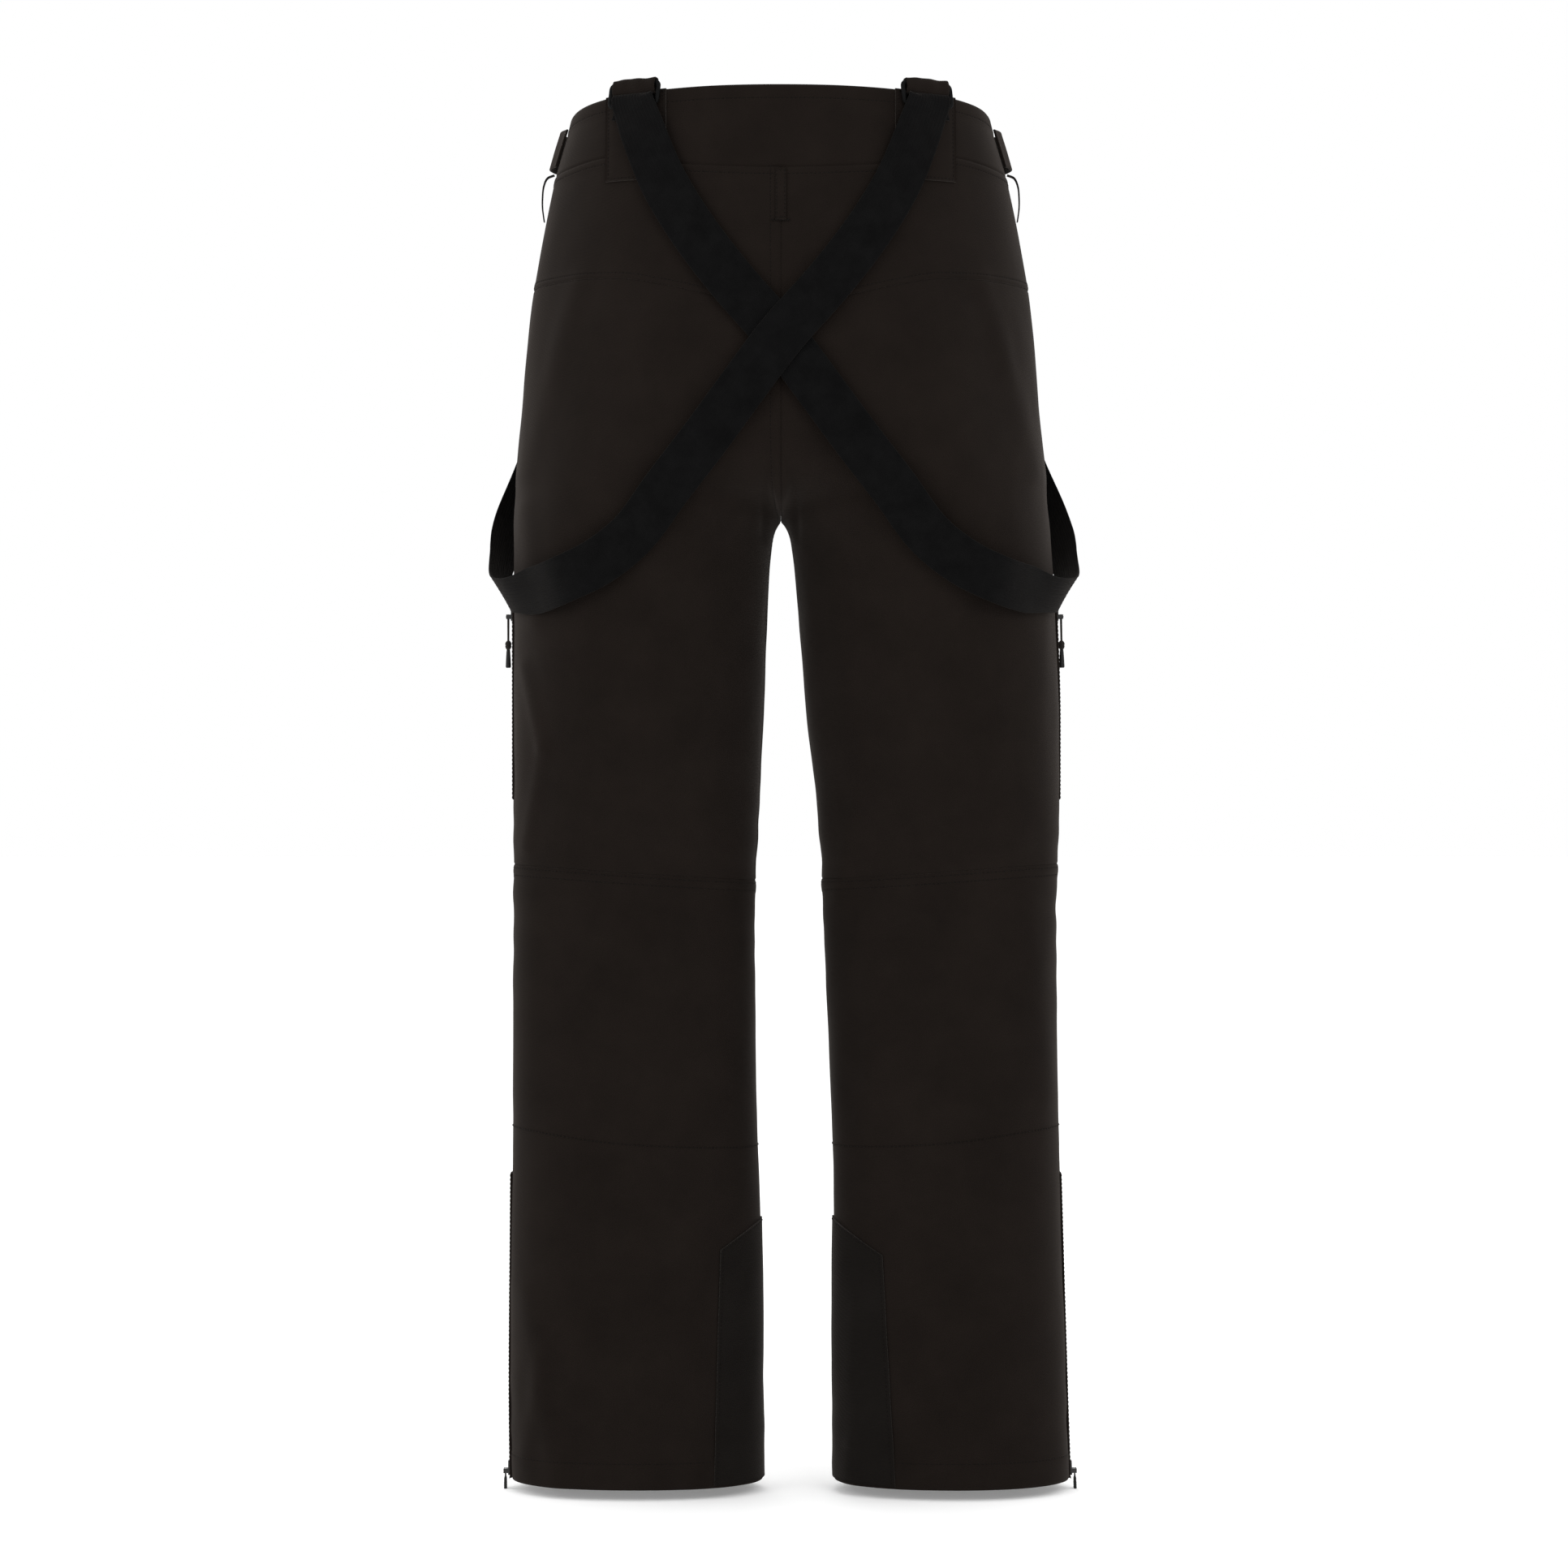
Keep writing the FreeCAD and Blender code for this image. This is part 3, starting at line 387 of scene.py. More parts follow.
HOOKS = fuzzy("hook_tape", (0.008, 0.007, 0.006), (0.016, 0.013, 0.011), 700.0)
LOOPS = fuzzy("loop_pile", (0.010, 0.010, 0.010), (0.020, 0.020, 0.020), 480.0)


# ---------- meshes ----------

def make_object(name, points, faces, materials, body, node_names=(), indices=None, uv=None):
    """Mesh piece in the row frame, from points in millimetres; body is one name."""
    mesh = bpy.data.meshes.new(name)
    mesh.from_pydata((np.asarray(points, float) * MM).tolist(), [], faces)
    for material in materials:
        mesh.materials.append(material)
    if indices is not None:
        mesh.polygons.foreach_set("material_index", indices)
    if uv is not None:
        layer = mesh.uv_layers.new(name="UVMap")
        loops = np.zeros(len(mesh.loops), np.int32)
        mesh.loops.foreach_get("vertex_index", loops)
        layer.data.foreach_set("uv", (np.asarray(uv) * MM)[loops].astype(np.float32).ravel())
    mesh.polygons.foreach_set("use_smooth", [True] * len(mesh.polygons))
    mesh.update()
    made = bpy.data.objects.new(name, mesh)
    bpy.context.scene.collection.objects.link(made)
    attach(made, body)
    if node_names:
        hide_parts(*node_names)
    return made


def attach(made, body):
    if body in ("leg_left", "leg_right"):
        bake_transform(made)
    else:
        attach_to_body(made, body)


def grid_faces(rows, columns, start=0, flip=False, wrap=False):
    last = columns if wrap else columns - 1
    i, j = np.meshgrid(np.arange(rows - 1), np.arange(last), indexing="ij")
    right = (j + 1) % columns
    a, b = start + i * columns + j, start + i * columns + right
    c, d = start + (i + 1) * columns + right, start + (i + 1) * columns + j
    quads = np.stack([a, d, c, b] if flip else [a, b, c, d], axis=-1).reshape(-1, 4)
    return quads.tolist()


def grid_normals(points, centre):
    du = np.gradient(points, axis=0)
    dv = np.gradient(points, axis=1)
    normal = unit(np.cross(du, dv))
    wrong = np.sum(normal * (points - centre), axis=-1).mean() < 0
    return -normal if wrong else normal, wrong


def shell_object(name, outer, inner, flip, materials, body, node_names):
    """Closed sheet from its outer and inner grids of points."""
    rows, columns = outer.shape[:2]
    count = rows * columns
    faces = grid_faces(rows, columns, 0, flip) + grid_faces(rows, columns, count, not flip)
    top = len(faces) // 2
    border = [i * columns for i in range(rows)] + [(rows - 1) * columns + j for j in range(1, columns)]
    border += [i * columns + columns - 1 for i in range(rows - 2, -1, -1)] + list(range(columns - 2, 0, -1))
    for a, b in zip(border, border[1:] + border[:1]):
        faces.append([b, a, a + count, b + count] if not flip else [a, b, b + count, a + count])
    indices = [0] * top + [1] * top + [0] * len(border)
    points = np.concatenate([outer.reshape(-1, 3), inner.reshape(-1, 3)])
    return make_object(name, points, faces, materials, body, node_names, indices)


def distances(points, axis):
    steps = np.linalg.norm(np.diff(points, axis=axis), axis=-1)
    start = np.zeros_like(np.take(steps, [0], axis=axis))
    return np.concatenate([start, np.cumsum(steps, axis=axis)], axis=axis)


def fine_marks(rows):
    marks = [0, 0.6, 1.3, 2.2, 3.4]
    for row in rows:
        marks += [row - 1.2, row - 0.6, row, row + 0.6, row + 1.2, row + 2.6]
    kept = []
    for mark in sorted(marks):
        if not kept or mark - kept[-1] > 0.35:
            kept.append(mark)
    return np.array(kept)


def ladder(length, start_rows, end_rows, nominal, step=STEP):
    """Distances from one edge to the other: fine beside each edge, even between."""
    head, tail = fine_marks(start_rows), fine_marks(end_rows)
    count = max(2, int((nominal - head[-1] - tail[-1]) / step))
    shares = np.arange(1, count) / count
    length = np.asarray(length, float)[..., None]
    middle = head[-1] + shares * (length - head[-1] - tail[-1])
    ones = np.ones_like(length)
    return np.concatenate([ones * head, middle, length - tail[::-1]], axis=-1)


def edge_shape(distance, rows, roll):
    """Height of the cloth beside a seam: it dips into the seam and each row of stitches pulls it in."""
    shape = -roll * np.exp(-(distance / 1.1) ** 2)
    if rows:
        shape = shape + 0.5 * (1 - smooth((distance - rows[-1] - 0.4) / 2.4))
        for row in rows:
            shape = shape - 0.42 * np.exp(-((distance - row) / 0.8) ** 2)
    return shape


def cloth_noise(points):
    """Slow unevenness of hanging cloth, the same on both sides of a seam."""
    flat = points.reshape(-1, 3)
    heights = np.empty(len(flat))
    for index, (x, y, z) in enumerate(flat.tolist()):
        knee = math.exp(-((z + 628) / 70) ** 2) + 0.8 * math.exp(-((z + 1075) / 45) ** 2)
        crotch = math.exp(-((z + 350) / 60) ** 2) * math.exp(-(x / 70) ** 2)
        value = 1.1 * noise.noise((x / 46, y / 46, z / 150 + 3))
        value += 0.35 * noise.noise((x / 21, y / 21, z / 34 + 9))
        value += 1.3 * (knee + 0.35 * crotch) * noise.noise((x / 80 + 5, y / 80, z / 20))
        heights[index] = value * min(1.0, 0.35 + max(0, -60 - z) / 120)
    return heights.reshape(points.shape[:-1])


def folds(points):
    heights = np.zeros(points.shape[:-1])
    for face, start, end, width, height in FOLDS:
        a, b = np.array(start, float), np.array(end, float)
        place = points[..., [0, 2]]
        run = b - a
        t = np.clip(((place - a) @ run) / (run @ run), 0, 1)
        away = np.linalg.norm(place - a - t[..., None] * run, axis=-1)
        facing = smooth(0.5 + 1.2 * face * points[..., 1] / 60)
        heights += height * np.exp(-(away / width) ** 2) * facing
    return heights


stitches = {}


def stitch_line(key, points, normals, lift=0.12):
    stitches.setdefault(key, []).append((points, points * 0 + normals, lift))


def row_across(points, normals, along, distance, from_end=False):
    """Line at this distance from an edge, over the finished surface."""
    length = along[:, -1:]
    wanted = length[:, 0] - distance if from_end else np.full(len(along), float(distance))
    line, facing = [], []
    for i in range(len(along)):
        line.append([np.interp(wanted[i], along[i], points[i, :, k]) for k in range(3)])
        facing.append([np.interp(wanted[i], along[i], normals[i, :, k]) for k in range(3)])
    return np.array(line), unit(np.array(facing))


def close_at_centre(side, grid, from_centre, joined):
    """Draw the cloth beside the centre seam up to the centre plane, in the rows where the halves join."""
    gap = np.where(joined, side * grid[-1, :, 0] - 0.03, 0)
    grid[..., 0] -= side * gap * np.exp(-(from_centre / 9) ** 2)
    grid[..., 0] = np.where(joined, side * np.maximum(side * grid[..., 0], 0.03), grid[..., 0])


def soften_crotch(points, face, from_edge):
    """Cloth with the sharp change of shape at the top of the legs spread over more height."""
    x, depth, height = np.moveaxis(points, -1, 0)
    steps = np.linspace(-SOFT_REACH, SOFT_REACH, 19)
    shares = np.exp(-(steps / (0.45 * SOFT_REACH)) ** 2)
    even = sum(share * skin_depth(x, height + step, face) for share, step in zip(shares, steps))
    even = face * even / shares.sum()
    zone = smooth((height - SOFT_BOTTOM) / 60) * smooth((SOFT_TOP - height) / 60)
    depth += (even - depth) * zone * smooth(from_edge / 30)
    weight = (zone * smooth(from_edge / 14))[1:-1, 1:-1, None]
    for _ in range(SOFT_PASSES):
        mean = (points[:-2, 1:-1] + points[2:, 1:-1] + points[1:-1, :-2] + points[1:-1, 2:]) / 4
        points[1:-1, 1:-1] += (mean - points[1:-1, 1:-1]) * weight


def panel(name, side, face, upper, lower, edges, body, node_names, whole=False):
    """Fabric panel between two seams.  edges gives the stitch rows at the top, bottom, side and centre."""
    top_rows, bottom_rows, side_rows, centre_rows = edges

    def at(w, height):
        end = math.pi - EDGE_ANGLE if whole else last_angle(side, height)
        return on_section(side, height, face * (EDGE_ANGLE + w * (end - EDGE_ANGLE)))

    def line(height_at, w, guess):
        height = np.full(np.shape(w), guess)
        for _ in range(10):
            height = height_at(at(w, height))
        return height

    probe = np.array([[150.0, 0, 0]])
    high, low = float(upper(probe)[0]), float(lower(probe)[0])
    fine = np.linspace(0, 1, 240)
    fine_top, fine_bottom = line(upper, fine, high), line(lower, fine, low)
    rows = ladder(fine_top - fine_bottom, top_rows, bottom_rows, high - low)
    lengths = distances(at(np.repeat(fine[:, None], rows.shape[1], 1), fine_top[:, None] - rows), 0)
    columns = ladder(lengths[-1], side_rows, centre_rows, float(np.median(lengths[-1]))).T
    w = np.stack([np.interp(columns[:, j], lengths[:, j], fine) for j in range(columns.shape[1])], axis=1)
    top, bottom = line(upper, w, high), line(lower, w, low)
    height = top - (rows[120] / rows[120, -1])[None, :] * (top - bottom)
    edge_top, edge_bottom = fine_marks(top_rows), fine_marks(bottom_rows)
    height[:, :len(edge_top)] = top[:, :len(edge_top)] - edge_top
    height[:, -len(edge_bottom):] = bottom[:, -len(edge_bottom):] + edge_bottom[::-1]
    points = at(w, height)
    centre = np.stack([0 * height if whole else half(side, height)[0], 0 * height, height], axis=-1)
    normals, flip = grid_normals(points, centre)
    across, along = distances(points, 0), distances(points, 1)
    if not whole:
        soften_crotch(points, face, np.minimum(across, across[-1:] - across))
        normals, _ = grid_normals(points, centre)
    lift = cloth_noise(points) + folds(points)
    for rows_here, distance in (
        (top_rows, along), (bottom_rows, along[:, -1:] - along),
        (side_rows, across), (centre_rows, across[-1:] - across),
    ):
        lift = lift + edge_shape(distance, rows_here, SEAM_ROLL)
    outer = points + normals * lift[..., None]
    inner = outer - normals * FABRIC
    if not whole:
        joined = last_angle(side, height[-1]) < math.pi - 0.01
        for grid in (outer, inner):
            close_at_centre(side, grid, across[-1:] - across, joined)
    made = shell_object(name, outer, inner, flip, [SHELL, INSIDE], body, node_names)
    for rows_here, distance, end, turned in (
        (top_rows, along, False, False), (bottom_rows, along, True, False),
        (side_rows, across, False, True), (centre_rows, across, True, True),
    ):
        for row in rows_here:
            grid, facing, run = outer, normals, distance
            if turned:
                grid, facing, run = outer.transpose(1, 0, 2), normals.transpose(1, 0, 2), distance.T
            stitch_line(body, *row_across(grid, facing, run, row, end))
    return made


def line_on_panel(side, face, rows, offset=0.3):
    """Stitch line along a height table on the skin of one leg half."""
    angle = face * np.linspace(0.02, math.pi - 0.02, 120)
    height = np.full(120, float(rows[0][1]))
    for _ in range(8):
        height = table(rows, np.abs(on_section(side, height, angle)[:, 0]))[:, 0]
    points = on_section(side, height, angle)
    centre = np.stack([half(side, height)[0], 0 * height, height], axis=-1)
    normals = unit((points - centre) * [1, 1.4, 0])
    lift = cloth_noise(points) + folds(points) + offset
    return points + normals * lift[:, None], normals


# ---------- bands and sweeps ----------

def smooth_route(points, normals, step=3.0):
    """Round curve through the route, with the way it faces at each place."""
    data = np.concatenate([np.asarray(points, float), np.asarray(normals, float)], axis=1)
    padded = np.concatenate([2 * data[:1] - data[1:2], data, 2 * data[-1:] - data[-2:-1]])
    curve = []
    for i in range(1, len(padded) - 2):
        p0, p1, p2, p3 = padded[i - 1:i + 3]
        span = [max(np.linalg.norm(b[:3] - a[:3]), 1e-6) ** 0.5 for a, b in ((p0, p1), (p1, p2), (p2, p3))]
        m1 = (p1 - p0) / span[0] - (p2 - p0) / (span[0] + span[1]) + (p2 - p1) / span[1]
        m2 = (p2 - p1) / span[1] - (p3 - p1) / (span[1] + span[2]) + (p3 - p2) / span[2]
        for t in np.linspace(0, 1, 16, endpoint=False):
            curve.append(
                p1 * (2 * t ** 3 - 3 * t ** 2 + 1) + m1 * span[1] * (t ** 3 - 2 * t ** 2 + t)
                + p2 * (3 * t ** 2 - 2 * t ** 3) + m2 * span[1] * (t ** 3 - t ** 2)
            )
    curve.append(data[-1])
    curve = resample_by(np.array(curve), step)
    return curve[:, :3], unit(curve[:, 3:])


def resample_by(data, step):
    along = distances(data[:, :3], 0)
    count = max(2, int(round(along[-1] / step)) + 1)
    wanted = np.linspace(0, along[-1], count)
    return np.stack([np.interp(wanted, along, data[:, k]) for k in range(data.shape[1])], axis=-1)


def route_frames(points, normals):
    tangents = unit(np.gradient(points, axis=0))
    normals = unit(normals - tangents * np.sum(normals * tangents, axis=-1, keepdims=True))
    return tangents, normals, np.cross(tangents, normals)


def band_profile(width, thick, columns, crown=0.0):
    """Outline of a flat band's section with rounded edges, as (across, height)."""
    inner = width / 2 - thick * 0.35
    flat = np.linspace(-inner, inner, columns)
    top = np.stack([flat, thick / 2 + crown * (1 - (flat / inner) ** 2)], axis=-1)
    corner = inner + thick * 0.27
    edge = [(corner, thick * 0.32), (inner + thick * 0.35, 0), (corner, -thick * 0.32)]
    bottom = np.stack([flat[::-1], -thick / 2 + crown * (1 - (flat / inner) ** 2)], axis=-1)
    other = [(-u, -h) for u, h in edge]
    return np.concatenate([top, edge, bottom, other])


def same_way(normal, count):
    return np.repeat(normal[None], count, 0)


def round_profile(wide, deep, sides, wide_power=1.0, deep_power=1.0):
    """Rounded section as (across, height); a power below 1 makes it squarer."""
    turn = 2 * np.pi * np.arange(sides) / sides
    across = wide * signed_power(np.cos(turn), wide_power)
    return np.stack([across, deep * signed_power(np.sin(turn), deep_power)], axis=-1)


def sweep(name, points, normals, profile, materials, body, node_names=(), slot=None, widths=None,
          closed=False, lift=None):
    """Section swept along a route; widths scales it across, lift raises it."""
    tangents, normals, across = route_frames(points, normals)
    if closed:
        tangents = unit(np.roll(points, -1, 0) - np.roll(points, 1, 0))
        normals = unit(normals - tangents * np.sum(normals * tangents, axis=-1, keepdims=True))
        across = np.cross(tangents, normals)
    count, size = len(points), len(profile)
    widths = np.ones(count) if widths is None else np.asarray(widths)
    u = profile[:, 0][None, :] * widths[:, None]
    h = np.repeat(profile[:, 1][None, :], count, 0)
    if lift is not None:
        h = h + lift(u, distances(points, 0)[:, None])
    grid = points[:, None] + across[:, None] * u[..., None] + normals[:, None] * h[..., None]
    faces = grid_faces(count, size, 0, False, True)
    if closed:
        for j in range(size):
            k = (j + 1) % size
            faces.append([(count - 1) * size + j, (count - 1) * size + k, k, j])
    else:
        faces += [list(range(size))[::-1], [(count - 1) * size + j for j in range(size)]]
    along = distances(points, 0)
    uv = np.stack([u, np.repeat(along[:, None], size, 1)], axis=-1).reshape(-1, 2)
    return make_object(name, grid.reshape(-1, 3), faces, materials, body, node_names, None, uv)


def lozenge(name, origin, axes, sections, exponent, materials, body, node_names=(), sides=20):
    """Closed form along the second axis; sections are (place, half width, half thickness, height)."""
    x_axis, y_axis, z_axis = axes
    angle = 2 * np.pi * np.arange(sides) / sides
    rings = []
    for place, wide, deep, rise in sections:
        u = signed_power(np.cos(angle), 2 / exponent) * wide
        h = signed_power(np.sin(angle), 2 / exponent) * deep + rise
        rings.append(origin + place * y_axis + u[:, None] * x_axis + h[:, None] * z_axis)
    faces = grid_faces(len(rings), sides, 0, False, True)
    faces += [list(range(sides))[::-1], [(len(rings) - 1) * sides + j for j in range(sides)]]
    return make_object(name, np.concatenate(rings), faces, materials, body, node_names)


def add_stitches(body, lines):
    """Every stitch of one body as a short rounded thread."""
    ring = 2 * np.pi * np.arange(6) / 6
    shape = []
    for place, size in ((-1.0, 0.25), (-0.75, 0.85), (0.0, 1.0), (0.75, 0.85), (1.0, 0.25)):
        for angle in ring:
            shape.append((place, size * math.cos(angle), size * math.sin(angle)))
    shape = np.array(shape) * [STITCH_PITCH * 0.36, STITCH_RADIUS, STITCH_RADIUS]
    shape[:, 2] -= 0.16 * (shape[:, 0] / STITCH_PITCH / 0.36) ** 2
    template = grid_faces(5, 6, 0, False, True) + [[5, 4, 3, 2, 1, 0], [24, 25, 26, 27, 28, 29]]
    points, faces = [], []
    for line, facing, lift in lines:
        data = resample_by(np.concatenate([line, facing], axis=1), STITCH_PITCH)
        tangents, normals, across = route_frames(data[:, :3], unit(data[:, 3:]))
        places = data[:, :3] + normals * lift
        keep = np.ones(len(places), bool)
        for row in ZIPS.values():
            keep &= ~in_slot(row, places)
        along, aside, above = shape.T[..., None]
        for i in np.nonzero(keep)[0]:
            start = len(shape) * len(points)
            points.append(places[i] + along * tangents[i] + aside * across[i] + above * normals[i])
            faces += [[start + k for k in face] for face in template]
    if points:
        make_object("stitching_" + body, np.concatenate(points), faces, [THREAD], body)


# ---------- zips ----------

MARKS = (("near", -1), ("far", 1))       # the two sides of a zip
SLOT_DEPTH = 24
TOOTH_PITCH = 1.35
TAPE_PLACE = 4.2
TAPE_WIDTH = 7.2
WELT_PLACE = 7.0
WELT_WIDTH = 7.6
FLY_ENDS = (-68.0, -190.0)
POCKET_TOP = (60.0, -84.0)
POCKET_FOOT = (118.0, -204.0)
# Kind, upper end, lower end, way the slider travels, length of the pull.
SIDE_ZIPS = (("thigh", -402, -558, 1, 44), ("ankle", -868, HEM, -1, 22))
FLY_PULL = 26
POCKET_PULL = 28

# Cord pull, as (distance back from its tip, half width, half thickness).
KNOT = [(22, 1.3, 1.2), (21, 2.3, 2.1), (19.4, 3.0, 2.7), (18.4, 2.5, 2.3), (17.6, 2.9, 2.6), (16, 2.4, 2.2),
        (15, 1.5, 1.4)]
BELL = [(15.4, 1.3, 1.3), (13, 1.7, 1.6), (8, 2.3, 1.9), (3, 3.1, 2.1), (0.8, 3.3, 2.2), (0, 2.7, 1.6)]

BOX_FACES = [[0, 1, 3, 2], [4, 6, 7, 5], [0, 4, 5, 1], [2, 3, 7, 6], [0, 2, 6, 4], [1, 5, 7, 3]]


def box_points(x, y, z):
    """Corners of a box from its range along each axis."""
    return np.array([(a, b, c) for a in x for b in y for c in z], float)


def zip_row(top, bottom, outward, travel, pull, surface):
    """Straight line of a zip with its own axes: across, down and out."""
    down = unit(bottom - top)
    out = unit(outward - down * (outward @ down))
    across = unit(np.cross(down, out))
    length = float(np.linalg.norm(bottom - top))
    return {"top": top, "x": across, "y": down, "z": out, "length": length, "travel": travel, "pull": pull,
            "surface": surface}


def zip_rows():
    def on_front(points):
        return skin(points[:, 0], points[:, 2], -1)

    front = skin([0.0, 0.0], FLY_ENDS, -1)[0]
    zips = {"fly": zip_row(*front, np.array([0.0, -1, 0]), 1, FLY_PULL, on_front)}
    for name, side in SIDES.items():
        x, z = np.array([POCKET_TOP, POCKET_FOOT]).T
        outward = skin([side * x.mean()], [z.mean()], -1)[1][0]
        zips["pocket_" + name] = zip_row(*skin(side * x, z, -1)[0], outward, 1, POCKET_PULL, on_front)

        def on_side(points, side=side):
            return side_skin(side, points[:, 1], points[:, 2])

        for kind, start, end, travel, pull in SIDE_ZIPS:
            centre, width, _, _ = half(side, np.array([start, end], float))
            ends = np.stack([centre + side * width, [0, 0], [start, end]], axis=-1)
            zips[kind + "_" + name] = zip_row(*ends, np.array([float(side), 0, 0]), travel, pull, on_side)
    return zips


ZIPS = zip_rows()


def in_slot(row, points):
    """Whether points lie where the zip opens the cloth, with a little room round it."""
    local = points - row["top"]
    across, down, out = local @ row["x"], local @ row["y"], local @ row["z"]
    return (np.abs(across) < 9) & (down > -2) & (down < row["length"] + 2) & (np.abs(out) < 30)


def zip_point(row, x, y, z):
    return row["top"] + np.outer(x, row["x"]) + np.outer(y, row["y"]) + np.outer(z, row["z"])


def laid_on_cloth(row, points, rise):
    """Points moved out of the zip's straight plane to a height over the cloth, and the way they face."""
    surface, facing = row["surface"](points)
    chord = np.sum((surface - points) * row["z"], axis=-1)
    return points + row["z"] * (chord[:, None] + rise), unit(facing + row["z"])


def cut_slot(panel_object, row):
    """Opening in a panel for a zip."""
    across = (-SLOT_WIDTH / 2, SLOT_WIDTH / 2)
    corners = box_points(across, (0, row["length"]), (-SLOT_DEPTH, SLOT_DEPTH))
    mesh = bpy.data.meshes.new("cutter")
    mesh.from_pydata((zip_point(row, *corners.T) * MM).tolist(), [], BOX_FACES)
    mesh.update()
    cutter = bpy.data.objects.new("cutter", mesh)
    bpy.context.scene.collection.objects.link(cutter)
    modifier = panel_object.modifiers.new("slot", "BOOLEAN")
    modifier.object = cutter
    modifier.operation = "DIFFERENCE"
    modifier.solver = "EXACT"
    bpy.context.view_layer.update()
    evaluated = panel_object.evaluated_get(bpy.context.evaluated_depsgraph_get())
    result = bpy.data.meshes.new_from_object(evaluated)
    panel_object.modifiers.clear()
    panel_object.data = result
    bpy.data.objects.remove(cutter)


def zip_coil(name, row, body):
    """Closed coil: small rounded teeth, from one side and the other in turn."""
    tooth = box_points((-1, 1), (-1, 1), (-1, 1))
    points, faces = [], []
    for i in range(int((row["length"] - 4) / TOOTH_PITCH)):
        sign = 1 if i % 2 else -1
        size = tooth * [1.25, 0.42, 0.62]
        size[:, 2] *= np.where(tooth[:, 0] * sign > 0, 0.75, 1.0)
        local = size + [sign * 0.75, 2 + TOOTH_PITCH * i, COIL_TOP - 0.75]
        points.append(zip_point(row, *local.T))
        faces += [[8 * i + k for k in face] for face in BOX_FACES]
    coil = make_object(name + "_coil", np.concatenate(points), faces, [COIL], body)
    bevel = coil.modifiers.new("soft", "BEVEL")
    bevel.width = 0.0002
    bevel.segments = 2


def zip_pieces(name, row, body):
    """Tapes, coil, welts and stitching of one closed zip."""
    kind, _, side = name.partition("_")
    node_name = kind + "_zip" + ("_" + side if side else "")
    count = int(row["length"] / 4) + 2
    y = np.linspace(0.4, row["length"] - 0.4, count)
    for mark, sign in MARKS:
        points = zip_point(row, np.full(count, sign * TAPE_PLACE), y, np.full(count, TAPE_TOP - 0.4))
        sweep(name + "_tape_" + mark, points, same_way(row["z"], count), band_profile(TAPE_WIDTH, 0.7, 5),
              [TAPE], body, [node_name] if sign < 0 else [], "zip_tape")
    zip_coil(name, row, body)
    open_end = kind == "ankle"
    y = np.linspace(-1.5, row["length"] + (-1 if open_end else 1.5), count)
    for mark, sign in MARKS:
        base = zip_point(row, np.full(count, sign * WELT_PLACE), y, 0 * y)
        sweep(name + "_welt_" + mark, *laid_on_cloth(row, base, 0.35), band_profile(WELT_WIDTH, 1.7, 7, 0.25),
              [SHELL], body, (), "shell_fabric")
        edge, lean = laid_on_cloth(row, base, 1.25)
        stitch_line(body, edge + sign * 2.2 * row["x"], lean, 0.1)
    for mark, place in (("top", -1.2), ("end", row["length"] + 1.0)):
        if open_end and mark == "end":
            continue
        base = zip_point(row, np.linspace(-10.5, 10.5, 9), np.full(9, place), np.zeros(9))
        sweep(name + "_bar_" + mark, *laid_on_cloth(row, base, 0.6), band_profile(4.6, 1.3, 5, 0.2),
              [SHELL], body, (), "shell_fabric")


def slider_origin(row):
    rest = SLIDER_LENGTH / 2 + 2
    return row["top"] + row["y"] * (rest if row["travel"] > 0 else row["length"] - rest)


def pull_eye(name, row, radius, steps, profile, material, body, slot):
    """Loop of a pull round the slider's pin."""
    centre = slider_origin(row) + PIN_FORWARD * row["y"] + PIN_HEIGHT * row["z"]
    angle = np.linspace(0, 2 * np.pi, steps, endpoint=False)
    eye = centre + radius * (np.outer(np.cos(angle), row["y"]) + np.outer(np.sin(angle), row["z"]))
    sweep(name, eye, unit(eye - centre), profile, [material], body, (), slot, closed=True)


def cord_pull(name, row, body):
    """Two strands from the slider's pin, a knot and a rubber bell."""
    origin, end = slider_origin(row), row["pull"]
    axes = (row["x"], row["y"], row["z"])
    y = np.linspace(PIN_FORWARD + 0.6, end - 20, 24)
    for mark, sign in MARKS:
        spread = sign * (0.9 + 0.35 * np.sin(y / 4))
        points = origin + np.outer(spread, axes[0]) + np.outer(y, axes[1]) + PIN_HEIGHT * axes[2]
        sweep(name + "_cord_" + mark, points, same_way(axes[2], len(y)), round_profile(0.85, 0.85, 10), [CORD],
              body, [body] if sign < 0 else [], "pull_cord")
    pull_eye(name + "_cord_eye", row, 1.5, 40, round_profile(1.21, 0.55, 8), CORD, body, "pull_cord")
    for part, sections, exponent, material in (("_knot", KNOT, 2.0, CORD), ("_bell", BELL, 2.4, RUBBER)):
        placed = [(end - back, wide, deep, PIN_HEIGHT) for back, wide, deep in sections]
        lozenge(name + part, origin, axes, placed, exponent, [material], body, ())


